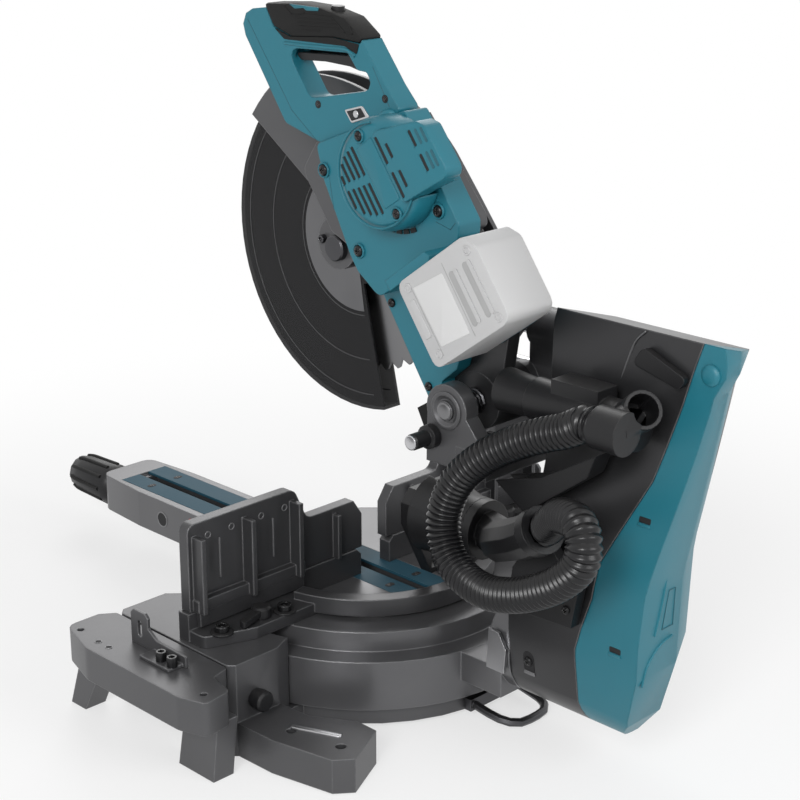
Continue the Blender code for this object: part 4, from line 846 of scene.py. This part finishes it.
@dataclass
class Head:
    """The head's covers, handle, grip and cases: vents, screws, trim and the small panel."""

    cap: float = 0.1053
    plate: float = 0.0780
    handle: float = 0.0720
    handle_left: float = 0.0480
    box: float = 0.1100
    grip: float = 0.0730
    gear: float = 0.0360
    case: float = -0.0160
    motor: Flat = (0.078, 0.1995)
    rim: float = 0.0455
    swell: Flat = (0.0905, 0.2475)
    bolt_ring: float = 0.1200
    slit: float = 0.0029
    slit_end: float = 0.0015
    cap_slits: Slits = (
        (0.0400, 0.2105, 0.2190), (0.0468, 0.2095, 0.2275), (0.0535, 0.2080, 0.2314),
        (0.0601, 0.2066, 0.2328), (0.0668, 0.2055, 0.2337), (0.0400, 0.1870, 0.2045),
        (0.0468, 0.1780, 0.2030), (0.0535, 0.1735, 0.2010), (0.0603, 0.1700, 0.1995),
        (0.0672, 0.1678, 0.1980),
    )
    box_slits: Slits = (
        (0.1022, 0.1985, 0.2245), (0.1027, 0.1660, 0.1905), (0.1104, 0.2000, 0.2140),
        (0.1113, 0.1720, 0.1880), (0.1405, 0.1945, 0.2100), (0.1410, 0.1712, 0.1873),
    )
    blind_slits: Slits = (
        (0.1474, 0.1932, 0.2075), (0.1479, 0.1697, 0.1859), (0.1538, 0.1915, 0.2055),
        (0.1538, 0.1690, 0.1845),
    )

    def build(self) -> None:
        """Makes every piece that dresses the head."""
        self.vents()
        self.screws()
        self.cap_trim()
        self.panel()
        self.handle_trim()
        self.grip_trim()
        self.overmould()
        self.gear_trim()
        self.case_trim()

    def vents(self) -> None:
        """Cuts of the cap and the controller, as near-black slots of painted shade with round ends and lips,
        and the blind ones in teal darkened as painted shade.
        """
        lips = Shell()
        for name, finish, face, rows in (
            ("cap_vents", SLOT, self.cap, self.cap_slits),
            ("controller_vents", SLOT, self.box, self.box_slits),
            ("blind_vents", TEAL_DEEP, self.box, self.blind_slits),
        ):
            slots, place = Shell(), head_face(face)
            for u, low, high in rows:
                ends = (u, low + self.slit_end), (u, high - self.slit_end)
                slots.slab(Outline.bar(*ends, self.slit), place, SUNK, 0.00025)
                if finish is SLOT:
                    edge = u - self.slit / 2 - 0.0005
                    lips.slab(Outline.bar((edge, low), (edge, high), 0.0008), place, SUNK, 0.0007, 0.0003)
            slots.piece(name, finish, Body.HEAD)
        lips.piece("vent_lips", TEAL, Body.HEAD)

    def screws(self) -> None:
        """Black screws of the cap and the housing plate, in their bosses."""
        bosses, heads = Shell(), Shell()
        for face, boss, screw, spots in (
            (self.cap, Boss(0.0064, 0.0050, 0.0018), Screw(0.0043, 0.0024),
             ((0.0807, 0.2365), (0.0821, 0.1604))),
            (self.plate, Boss(0.0072, 0.0058, 0.0022), Screw(0.0052, 0.0036),
             ((-0.0045, 0.2445), (-0.0075, 0.1640), (0.102, 0.1483))),
        ):
            for spot in spots:
                boss.put(bosses, head_face(face), *spot)
                screw.put(heads, head_face(face), *spot)
        bosses.piece("housing_bosses", TEAL, Body.HEAD)
        heads.piece("housing_screws", BLACK_SCREW, Body.HEAD)

    def cap_trim(self) -> None:
        """The cap's raised rim and bare band, and the dark grille that shows under its edge."""
        place = head_face(self.cap)
        angle = np.radians(np.linspace(62, 318, 70))
        u, v = self.motor[0] + self.rim * np.cos(angle), self.motor[1] + self.rim * np.sin(angle)
        Shell().tube(place.at(u, v, np.zeros_like(u)), 0.0011, 10).piece("cap_rim", TEAL, Body.HEAD)
        band = [(0.0718, 0.1700), (0.0718, 0.2290), (0.0930, 0.2290), (0.0930, 0.1690)]
        Shell().plate(band, 0.002, place, SUNK, 0.0007, 0.0004).piece("cap_band", TEAL, Body.HEAD)
        grille = Shell()
        for start in np.arange(186, 262, 9.5):
            bar = Outline.sector(self.motor, 0.0508, 0.0548, start, start + 7, 8)
            grille.slab(bar, head_face(self.plate), SUNK, 0.0012)
        grille.piece("cap_grille", SLOT, Body.HEAD)

    def panel(self) -> None:
        """The small panel on the handle's foot: a silver frame, a black face and one round button."""
        place = head_face(self.handle)
        border = [(0.0461, 0.2771), (0.0680, 0.2690), (0.0700, 0.2560), (0.0468, 0.2632)]
        Shell().plate(border, 0.002, place, SUNK, 0.0014, 0.0005).piece("panel_frame", SILVER, Body.HEAD)
        inside = [(0.0482, 0.2746), (0.0655, 0.2682), (0.0664, 0.2590), (0.0488, 0.2645)]
        Shell().plate(inside, 0.001, place, 0.0008, 0.0018, 0.0002).piece("panel_face", BLACK, Body.HEAD)
        rows = [(0.0010, 0.0033), (0.0022, 0.0033), (0.0026, 0.0027), (0.0024, 0.0018), (0.0026, 0.0004)]
        Shell().stud(rows, place, 0.0574, 0.2665, 24).piece("panel_button", SILVER, Body.HEAD)

    def handle_trim(self) -> None:
        """The mouldings' seams, the handle's sunk screws and the swell above the motor."""
        seams = Shell()
        for face, route in (
            (self.handle, [(-0.0185, 0.4085), (-0.0165, 0.3120), (-0.004, 0.2745)]),
            (self.handle, [(0.0985, 0.2900), (0.0960, 0.2520)]),
            (self.plate, [(0.0935, 0.1421), (0.1046, 0.1290), (0.1130, 0.1310)]),
            (self.plate, [(-0.0150, 0.2100), (0.0030, 0.2480)]),
        ):
            seams.line(head_face(face), route, *SEAM)
        seams.piece("moulding_seams", TEAL_DEEP, Body.HEAD)
        place = head_face(self.handle)
        wells, heads = Shell(), Shell()
        for spot in ((0.0179, 0.2985), (0.0955, 0.2600)):
            wells.slab(Outline.ring(spot, 0.0036), place, SUNK, 0.0003)
            Screw(0.0024, 0.0008).put(heads, place, *spot)
        wells.piece("screw_wells", SLOT, Body.HEAD)
        heads.piece("sunk_screws", BLACK_SCREW, Body.HEAD)
        angle = np.linspace(0, math.tau, 40, endpoint=False)
        rise = np.linspace(0, 1, 9)[:, None]
        spread = np.sqrt(1 - rise**2) * 0.98 + 0.02
        u = self.swell[0] + 0.0095 * spread * np.cos(angle)
        v = self.swell[1] + 0.0052 * spread * np.sin(angle) - 0.28 * (u - self.swell[0])
        dome = place.at(u, v, np.broadcast_to(rise * 0.006, u.shape))
        Shell().grid(dome, True, True).piece("handle_swell", TEAL, Body.HEAD)

    def grip_trim(self) -> None:
        """Lines embossed in the rubber, and the tab above it."""
        place = head_face(self.grip)
        lines = Shell()
        for route in (
            [(0.0325, 0.3920), (0.0367, 0.3800), (0.0482, 0.3735), (0.0528, 0.3722),
             (0.0800, 0.3520), (0.0870, 0.3310), (0.0945, 0.3250), (0.0955, 0.3330)],
            [(0.0384, 0.3758), (0.0800, 0.3478)], [(0.0392, 0.3712), (0.0815, 0.3428)],
            [(0.0392, 0.3666), (0.0820, 0.3380)], [(0.0391, 0.3622), (0.0602, 0.3489)],
        ):
            lines.line(place, route, 0.0009, 0.0004)
        lines.piece("grip_lines", RUBBER, Body.HEAD)
        tab = [(0.0400, 0.3890), (0.0440, 0.3815), (0.0540, 0.3760), (0.0560, 0.3720), (0.0690, 0.3635),
               (0.0705, 0.3662)]
        Shell().plate(tab, 0.0008, place, SUNK, 0.0005, 0.0002).piece("grip_tab", TEAL, Body.HEAD)

    def overmould(self) -> None:
        """Rubber down both sides of the handle to a teal lip, and the far wall of the trigger's slot."""
        skirt = [(0.0095, 0.3825), (0.0145, 0.3680), (0.0790, 0.3222), (0.0880, 0.3085), (0.0955, 0.3140),
                 (0.0700, 0.3362), (0.0225, 0.3657)]
        below = [(0.0125, 0.3650), (0.0330, 0.3505), (0.0560, 0.3345), (0.0775, 0.3196), (0.0850, 0.3085)]
        for (name, side), x in zip(SIDES, (self.handle, self.handle_left)):
            face = head_face(x, side)
            flap, lip = ([(u, side * v) for u, v in points] for points in (skirt, below))
            cover = Shell().plate(flap, 0.0015, face, SUNK, 0.0009, 0.0003)
            cover.piece("grip_skirt_" + name, RUBBER, Body.HEAD)
            Shell().tube(face.path(lip, 0.002), 0.0016, 10).piece("grip_lip_" + name, TEAL, Body.HEAD)
        wall = [(0.0118, 0.3600), (0.0775, 0.3158), (0.0772, 0.3095), (0.0600, 0.3210), (0.0140, 0.3525)]
        far = head_face(self.handle_left)
        Shell().plate(wall, 0.001, far, 0.0008, 0.0018).piece("trigger_wall", BLACK, Body.HEAD)

    def gear_trim(self) -> None:
        """The bolt and the spindle cap on the gear case's hub."""
        place = head_face(self.gear)
        rows = [(SUNK, 0.0042), (0.0040, 0.0042), (0.0052, 0.0034), (0.0052, 0.0022), (0.0030, 0.0020)]
        bolt = Shell().stud(rows, place, -0.0885, 0.2090, 24, 6, (3, 4), 0.1)
        bolt.piece("hub_bolt", DARK_STEEL, Body.HEAD)
        rows = [(SUNK, 0.0125), (0.0060, 0.0125), (0.0075, 0.0112), (0.0079, 0.0060), (0.0080, 0.0004)]
        Shell().stud(rows, place, -0.0755, 0.1930, 36).piece("spindle_cap", DARK_STEEL, Body.HEAD)

    def case_trim(self) -> None:
        """A raised rib and screws in their bosses on the blade case's left side."""
        place = head_face(self.case, -1)
        a, b = HUB[0], -HUB[1]
        rib = Outline.sector((a, b), 0.1040, 0.1062, -78, 2)
        Shell().slab(rib, place, SUNK, 0.0012, 0.0005).piece("case_rib", CAST, Body.HEAD)
        heads, bosses = Shell(), Shell()
        for way in np.radians((-70, -38, -6)):
            spot = a + self.bolt_ring * math.cos(way), b + self.bolt_ring * math.sin(way)
            Boss(0.0066, 0.0052, 0.0016).put(bosses, place, *spot)
            Screw(0.0044, 0.0026).put(heads, place, *spot)
        bosses.piece("case_bosses", CAST, Body.HEAD)
        heads.piece("case_screws", BLACK_SCREW, Body.HEAD)


@dataclass
class Guard:
    """The smoky guard's bright middle disc and its moulded arcs."""

    face: float = 0.0110
    disc: Flat = (0.0250, 0.0705)
    arcs: tuple[float, ...] = (0.0745, 0.1180, 0.1530)
    half: float = 0.0006
    span: Flat = (94, 243)

    def build(self) -> None:
        """Makes the disc and the arcs on the guard's right side and on its left."""
        for name, side in SIDES:
            disc, arcs = Shell(), Shell()
            self.band(disc, side, *self.disc, 0.00032)
            for radius in self.arcs:
                self.band(arcs, side, radius - self.half, radius + self.half, 0.0003)
            disc.piece("guard_disc_" + name, BRUSHED, Body.GUARD)
            arcs.piece("guard_arcs_" + name, SMOKE_EDGE, Body.GUARD)

    def band(self, shell: Shell, side: int, inner: float, outer: float, height: float) -> None:
        """Adds part of a flat ring: radius by angle about the arbor, mirrored on the left face."""
        outline = Outline.sector(HUB, inner, outer, *self.span)
        place = head_face(side * self.face, side)
        shell.slab(outline if side > 0 else outline[::-1] * (1, -1), place, 0.0, height)


@dataclass
class Battery:
    """The battery's moulded face: a bare label plate, two rails with grooves, corner pads and seams."""

    face: float = 0.1180

    def build(self) -> None:
        """Makes the face's pieces."""
        place = head_face(self.face)
        label = [(0.0755, 0.0400), (0.0745, 0.0960), (0.1130, 0.0920), (0.1125, 0.0360)]
        Shell().plate(label, 0.0015, place, SUNK, 0.0004, 0.0002).piece("label_plate", LABEL, Body.BATTERY)
        rails, grooves, pads, seams = Shell(), Shell(), Shell(), Shell()
        for u in (0.1205, 0.1385):
            rails.line(place, [(u + 0.0078, 0.0410), (u + 0.0075, 0.0860)], 0.0042, 0.0011)
            # The grooves are flat sheets of painted shade beside the raised rails.
            grooves.line(place, [(u + 0.0020, 0.0415), (u + 0.0017, 0.0855)], 0.0066, FLUSH)
        rails.piece("battery_rails", PALE, Body.BATTERY)
        grooves.piece("battery_grooves", PALE_SHADE, Body.BATTERY)
        for spot in ((0.0690, 0.0985), (0.1490, 0.0950), (0.1490, 0.0340), (0.0690, 0.0360)):
            Boss(0.0042, 0.0026, 0.0010).put(pads, place, *spot)
        corner = [(0.0625, 0.0520), (0.0625, 0.0880), (0.0705, 0.0880), (0.0705, 0.0520)]
        pads.plate(corner, 0.002, place, SUNK, 0.0009, 0.0004).piece("battery_pads", PALE, Body.BATTERY)
        for route in ([(0.0735, 0.0330), (0.0725, 0.1010)], [(0.1165, 0.0320), (0.1170, 0.0985)]):
            seams.line(place, route, *SEAM)
        seams.piece("battery_seams", PALE_SHADE, Body.BATTERY)


@dataclass
class Arm:
    """The bevel arm and its teal cover: sunk screws, raised lines, the boss and the hose port's fasteners."""

    port: float = 0.0680
    root: float = -0.0008
    keyhole: Place = Place((0.0516, 0.2953, 0.0932), Y, (0.99, 0, -0.14))
    wells: tuple[Place, Place] = (
        Place((0.0562, 0.3945, 0.1417), Y, (1, 0, -0.03)),
        Place((0.0392, 0.4069, 0.2598), Y, (0.97, 0, 0.23)),
    )
    back: Place = Place((0, 0.4184, 0.1460), (-1, 0, 0), (0, 1, -0.03))

    def build(self) -> None:
        """Makes the arm's and the cover's pieces."""
        self.arm_trim()
        self.cover_trim()

    def arm_trim(self) -> None:
        """The edge where the arm's two castings meet, the keyhole with its bolt, and the port's screws."""
        edge = [(0.0187, 0.3837, 0.4150), (0.0188, 0.3740, 0.4047), (0.0190, 0.3667, 0.3867),
                (0.0192, 0.3568, 0.3564)]
        Shell().tube(smooth_path(edge, 0.003), 0.0009, 8).piece("arm_edge", CAST_PALE, Body.ARM)
        well = Outline.bar((0, -0.006), (0, 0.006), 0.0125)
        Shell().slab(well, self.keyhole, self.root, 0.0003).piece("arm_well", SLOT, Body.ARM)
        lip = [(-0.0066, -0.0122), (0.0066, -0.0122), (0.0058, -0.0085), (-0.0058, -0.0085)]
        lips = Shell().plate(lip, 0.001, self.keyhole, self.root, 0.0010, 0.0004)
        lips.piece("arm_well_lip", CAST_PALE, Body.ARM)
        heads = Shell()
        Screw(0.0046, 0.0030, 6).put(heads, self.keyhole, 0, 0.0022)
        for y in (0.3493, 0.3150):
            Screw(0.0040, 0.0026).put(heads, right_face(self.port), y, 0.1690)
        heads.piece("arm_screws", BLACK_SCREW, Body.ARM)

    def cover_trim(self) -> None:
        """The cover's screw wells, its round boss, and the lines moulded on its back."""
        well = [(-0.006, -0.0022), (0.006, -0.0022), (0.006, 0.0028), (-0.006, 0.0028)]
        lip = [(-0.0068, -0.0056), (0.0068, -0.0056), (0.0060, -0.0024), (-0.0060, -0.0024)]
        wells, lips, ribs, seams = Shell(), Shell(), Shell(), Shell()
        for face in self.wells:
            wells.plate(well, 0.0012, face, self.root, 0.0003)
            lips.plate(lip, 0.0008, face, self.root, 0.0012, 0.0004)
        wells.piece("cover_wells", SLOT, Body.ARM)
        lips.piece("cover_lips", TEAL, Body.ARM)
        rows = [(-0.001, 0.0092), (0.0018, 0.0090), (0.0034, 0.0076), (0.0042, 0.0050), (0.0044, 0.0004)]
        Shell().turned(rows, (0.0186, 0.4505, 0.3920), (1, 0, 0.05), 36).piece("cover_boss", TEAL, Body.ARM)
        arch = [(-0.047, -0.034), (-0.042, -0.018), (-0.033, -0.007), (-0.021, 0.000), (-0.008, 0.002)]
        spine = [(-0.034, 0.0100), (-0.026, 0.0420), (-0.022, 0.0720)]
        for route in (arch, spine):
            ribs.tube(self.back.path(route, 0.003), 0.0011, 8, Y)
        ribs.piece("cover_ribs", TEAL, Body.ARM)
        loop = [(-0.024, 0.0130), (-0.009, 0.0130), (-0.009, 0.0480), (-0.018, 0.0480), (-0.024, 0.0130)]
        seams.line(self.back, loop, 0.0009, 0.0003).piece("cover_seams", TEAL_DEEP, Body.ARM)


@dataclass
class Carriage:
    """The pivot's ring and cap, the stopper pin's zinc end, and two screws on the head's side."""

    face: float = 0.0720
    end: float = 0.0740
    pin: Point = (0.1003, 0.1935, 0.2900)
    strip: float = 0.0495

    def build(self) -> None:
        """Spins the ring, the cap and the pin's end about X, and puts in the screws."""
        for name, finish, body, base, steps, rows in (
            ("pivot_ring", CAST, Body.CARRIAGE, (self.face, *PIVOT), 44, [
                (-0.0008, 0.0178), (0.0011, 0.0176), (0.0016, 0.0166), (0.0014, 0.0142), (0.0002, 0.0130),
                (SUNK, 0.0096)]),
            ("pivot_cap", CAST_PALE, Body.CARRIAGE, (self.end, *PIVOT), 36, [
                (SUNK, 0.0082), (0.0010, 0.0080), (0.0016, 0.0068), (0.0010, 0.0050), (0.0004, 0.0026),
                (0.0003, 0.0003)]),
            ("pin_end", ZINC, Body.PIN, self.pin, 32, [
                (SUNK, 0.0068), (0.0006, 0.0068), (0.0009, 0.0058), (0.0004, 0.0044), (0.0003, 0.0003)]),
        ):
            Shell().turned(rows, base, X, steps).piece(name, finish, body)
        heads = Shell()
        for spot in ((-0.0300, 0.0312), (-0.0275, 0.1150)):
            Screw(0.0042, 0.0026).put(heads, head_face(self.strip), *spot)
        heads.piece("strip_screws", BLACK_SCREW, Body.HEAD)


@dataclass
class Table:
    """The turntable and its knob: kerf-board slots, the scale with its ticks, holes, a red mark and ribs."""

    top: float = 0.0920
    board: float = 0.0186
    axis: Flat = (0.0, 0.0355)
    ring: Flat = (0.1592, 0.1768)
    ring_top: float = 0.0720
    scale_span: int = 54
    side: float = 0.0400
    ribs: int = 10
    knob_height: float = 0.0620
    knob: tuple[Flat, ...] = ((-0.4530, 0.0200), (-0.4425, 0.0221), (-0.4185, 0.0229), (-0.3960, 0.0236))

    def build(self) -> None:
        """Makes the table's pieces."""
        slots, heads = Shell(), Shell()
        place = top_face(self.top)
        for y in (-0.2970, -0.1150, 0.0850):
            for x in (-self.board, self.board):
                slots.slab(Outline.bar((x - 0.0022, y), (x + 0.0022, y), 0.0066), place, SUNK, FLUSH)
                Screw(0.0026, 0.0006).put(heads, place, x, y)
        slots.piece("board_slots", SLOT, Body.TABLE)
        heads.piece("board_screws", BLACK_SCREW, Body.TABLE)
        self.scale()
        self.arm_marks()
        self.knob_ribs()

    def scale(self) -> None:
        """Two black arcs with a white tick for every degree, nearer the middle at each fifth."""
        place = top_face(self.ring_top)
        arcs, ticks = Shell(), Shell()
        for start in (-74.0, -160.0):
            arc = Outline.sector(self.axis, *self.ring, start, start + self.scale_span)
            arcs.slab(arc, place, SHALLOW, 0.0006)
            for step in range(1, self.scale_span):
                way = np.radians(start + step)
                inner = self.ring[0] + (0.0045 if step % 5 else 0.0015)
                outward = np.array((math.cos(way), math.sin(way)))
                spoke = [tuple(self.axis + r * outward) for r in (inner, inner + 0.0050)]
                ticks.slab(Outline.bar(*spoke, 0.0005, 3), place, 0.0004, 0.0007)
        arcs.piece("scale_arcs", BLACK, Body.TABLE)
        ticks.piece("scale_ticks", PRINT, Body.TABLE)

    def arm_marks(self) -> None:
        """Holes in the table's front arm, each with a bright rim, and the red mark."""
        holes, rims = Shell(), Shell()
        for y in (-0.2520, -0.1500):
            for _, side in SIDES:
                place = Place((side * self.side, 0, 0), (0, side, 0), (side, 0, 0))
                spot = (side * y, 0.0700)
                holes.slab(Outline.ring(spot, 0.0075), place, SUNK, FLUSH)
                rims.slab(Outline.sector(spot, 0.0076, 0.0090, 0, FULL_TURN, 48), place, SUNK, 0.0005)
        holes.piece("arm_holes", SLOT, Body.TABLE)
        rims.piece("arm_hole_rims", CAST_PALE, Body.TABLE)
        rows = [(SUNK, 0.0024), (0.0006, 0.0023), (0.0012, 0.0012), (0.0013, 0.0002)]
        Shell().turned(rows, (self.side, -0.2020, 0.0830), X, 20).piece("red_mark", RED, Body.TABLE)

    def knob_ribs(self) -> None:
        """Ribs along the miter knob, each a tube that follows the knob's taper."""
        ribs = Shell()
        for turn in np.arange(self.ribs) * math.tau / self.ribs:
            outward = np.array((math.cos(turn), 0, math.sin(turn)))
            route = [tuple((0, y, self.knob_height) + radius * outward) for y, radius in self.knob]
            ribs.tube(smooth_path(route, 0.004), 0.0022, 10)
        ribs.piece("knob_ribs", RUBBER, Body.KNOB)


@dataclass
class Base:
    """Fences, wings and a foot: bolts with washers, tapped holes, moulding marks and a bright strip."""

    fence_top: float = 0.1040
    washer: float = 0.0014
    wing_top: float = 0.0920
    foot_top: float = 0.0953
    fence_back: float = 0.0510
    mark_height: float = 0.1950
    wing_hole: float = 0.2975
    stop_bolt: float = 0.2835
    rear_foot: float = 0.0340
    strip: tuple[Flat, Flat] = ((0.2085, 0.1520), (0.1905, 0.1930))

    def build(self) -> None:
        """Makes both sides, mirrored across the saw, and the bright strip on the right rear foot."""
        bodies = ((Body.RIGHT_FENCE, Body.RIGHT_WING), (Body.LEFT_FENCE, Body.LEFT_WING))
        for (name, side), (fence, wing) in zip(SIDES, bodies):
            self.bolts(name, side)
            self.fence_marks(name, side, fence)
            self.wing_marks(name, side, wing)
        bar, place = Outline.bar(*self.strip, 0.0058), top_face(self.rear_foot)
        Shell().slab(bar, place, -0.0005, 0.0014, 0.0006).piece("foot_strip", SILVER, Body.BASE)

    def cap_bolt(self, shell: Shell, z: float, a: float, b: float, radius: float, height: float) -> None:
        """Adds a socket-head bolt on a level face: a drum with a six-lobed socket sunk in its top."""
        rows = [(SUNK, radius), (0.15 * height, radius), (0.85 * height, radius), (height, 0.9 * radius)]
        rows += [(height, 0.56 * radius), (0.45 * height, 0.52 * radius)]
        shell.stud(rows, top_face(z), a, b, 48, 6, (4, 5), 0.10)

    def bolts(self, name: str, side: int) -> None:
        """The fixed fence's two bolts on their washers."""
        heads, washers = Shell(), Shell()
        rows = [(SHALLOW, 0.0108), (0.0012, 0.0108), (0.0016, 0.0100), (0.0016, 0.0030)]
        for x, y in ((0.2200, 0.0690), (0.1490, 0.0755)):
            washers.turned(rows, (side * x, y, self.fence_top), Z, 36)
            self.cap_bolt(heads, self.fence_top + self.washer, side * x, y, 0.0068, 0.0062)
        heads.piece(name + "_fence_bolts", BLACK_SCREW, Body.BASE)
        washers.piece(name + "_fence_washers", BLACK, Body.BASE)

    def fence_marks(self, name: str, side: int, body: Body) -> None:
        """Round marks and upright ribs on the upper fence's back."""
        place = Place((0, self.fence_back, 0), (-1, 0, 0), Y)
        marks, ribs = Shell(), Shell()
        for x in (0.2180, 0.1900, 0.1540, 0.1250):
            ring = Outline.sector((-side * x, self.mark_height), 0.0026, 0.0034, 0, FULL_TURN, 28)
            marks.slab(ring, place, SHALLOW, 0.0003)
        for x in (0.2050, 0.1400):
            ribs.line(place, [(-side * x, 0.1500), (-side * x, 0.1880)], 0.0016, 0.0010)
        marks.piece(name + "_fence_marks", CAST_PALE, body)
        ribs.piece(name + "_fence_ribs", CAST, body)

    def wing_marks(self, name: str, side: int, body: Body) -> None:
        """Tapped holes with bright rims on the wing, and the stop plate's two bolts."""
        place = top_face(self.wing_top)
        holes, rims, heads = Shell(), Shell(), Shell()
        for y in (-0.0160, 0.0000):
            spot = (side * self.wing_hole, y)
            holes.slab(Outline.ring(spot, 0.0026), place, SUNK, FLUSH)
            rims.slab(Outline.sector(spot, 0.0027, 0.0035, 0, FULL_TURN, 32), place, SUNK, 0.0004)
        for y in (0.0600, 0.0755):
            self.cap_bolt(heads, self.foot_top, side * self.stop_bolt, y, 0.0050, 0.0090)
        holes.piece(name + "_wing_holes", SLOT, body)
        rims.piece(name + "_wing_rims", CAST_PALE, body)
        heads.piece(name + "_stop_bolts", BLACK_SCREW, body)


@dataclass
class Studio:
    """The pale floor, soft light and the photograph's camera."""

    lens: float = 80.55
    sensor: float = 36
    place: Point = (1.16092, 1.23478, 0.82971)
    azimuth: float = 134.834
    pitch: float = 18.584
    aim: Point = (0, 0.05, 0.3)
    floor_height: float = -0.0008
    floor_reach: float = 6.0
    shadow_near: float = 0.45
    shadow_far: float = 1.1
    whiteness: float = 0.62

    def build(self) -> None:
        """Sets up everything round the saw."""
        self.camera()
        self.floor()
        self.world()
        self.lamp("key", (2.8, 1.6, 1.9), 1.4, 72)
        self.lamp("fill", (-0.4, 2.9, 1.7), 1.8, 34)
        self.lamp("front", (-1.8, -2.2, 2.2), 2.0, 30)
        bpy.context.scene.view_settings.view_transform = "Standard"

    def camera(self) -> None:
        """Sets the camera where the photograph was taken from."""
        data = bpy.data.cameras.new("camera")
        data.lens = self.lens
        data.sensor_width = self.sensor
        obj = linked("camera", data)
        obj.location = self.place
        obj.rotation_euler = (math.radians(90 - self.pitch), 0, math.radians(self.azimuth))
        bpy.context.scene.camera = obj

    def floor(self) -> None:
        """Lays a pale floor that takes the saw's shadow near it and reads as plain white further off."""
        ends = (-self.floor_reach, self.floor_reach)
        corners = np.array([[(x, y, self.floor_height) for y in ends] for x in ends])
        mesh = Shell().grid(corners).mesh("studio_floor")
        mesh.materials.append(self.floor_material())
        linked("studio_floor", mesh)

    @staticmethod
    def seen(graph: Graph) -> bpy.types.NodeSocket:
        """One where a ray comes from the camera, a reflection or glass, and 0 elsewhere, as a socket."""
        path = graph.add("ShaderNodeLightPath").outputs
        either = graph.maths("MAXIMUM", path["Is Camera Ray"], path["Is Glossy Ray"])
        return graph.maths("MAXIMUM", either, path["Is Transmission Ray"])

    def floor_material(self) -> bpy.types.Material:
        """A matt white that turns to an even white with its distance from the saw.

        Returns:
            The floor's material.
        """
        made = bpy.data.materials.new("studio_floor")
        made.use_nodes = True
        graph, nodes = Graph(made.node_tree), made.node_tree.nodes
        matt = nodes["Principled BSDF"]
        graph.wire(matt, {"Base Color": solid(0.93), "Roughness": 0.9})
        even = graph.add("ShaderNodeEmission", {"Color": solid(1.0)})
        where = graph.add("ShaderNodeTexCoord").outputs["Object"]
        far = graph.add("ShaderNodeVectorMath", {0: where}, operation="LENGTH").outputs["Value"]
        fade = graph.add("ShaderNodeMapRange", {
            "Value": far, "From Min": self.shadow_near, "From Max": self.shadow_far, "To Min": self.whiteness,
        }, interpolation_type="SMOOTHSTEP")
        share = graph.maths("MULTIPLY", fade.outputs["Result"], self.seen(graph))
        mix = graph.add("ShaderNodeMixShader", {
            "Fac": share, 1: matt.outputs["BSDF"], 2: even.outputs["Emission"],
        })
        graph.wire(nodes["Material Output"], {"Surface": mix.outputs["Shader"]})
        return made

    def lamp(self, name: str, place: Point, size: float, power: float) -> None:
        """Adds a soft area lamp that faces the saw."""
        data = bpy.data.lights.new(name, "AREA")
        data.shape = "DISK"
        data.size = size
        data.energy = power
        obj = linked(name, data)
        obj.location = place
        way = Vector(np.array(self.aim) - np.array(place))
        obj.rotation_euler = way.to_track_quat("-Z", "Y").to_euler()

    def world(self) -> None:
        """Lights the scene with soft grey, and shows plain white behind it."""
        world = bpy.data.worlds.new("studio")
        bpy.context.scene.world = world
        world.use_nodes = True
        graph, nodes = Graph(world.node_tree), world.node_tree.nodes
        light = nodes["Background"]
        graph.wire(light, {"Color": solid(0.9), "Strength": 0.42})
        white = graph.add("ShaderNodeBackground", {"Color": solid(1.0)})
        mix = graph.add("ShaderNodeMixShader", {
            "Fac": self.seen(graph), 1: light.outputs["Background"], 2: white.outputs["Background"],
        })
        graph.wire(nodes["World Output"], {"Surface": mix.outputs["Shader"]})


def dress_nodes() -> None:
    """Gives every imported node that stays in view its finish."""
    for finish, names in NODE_FINISH.items():
        for name in names:
            Dressing.node(name, finish, NODE_BEVEL.get(name, 0.0))


def main() -> None:
    """Builds the studio, the nodes' finishes and each sub-assembly."""
    logging.basicConfig(level=logging.INFO)
    Studio().build()
    dress_nodes()
    Hose().build()
    for part in (Head(), Guard(), Battery(), Arm(), Carriage(), Table(), Base()):
        part.build()


if __name__ == "__main__":
    main()
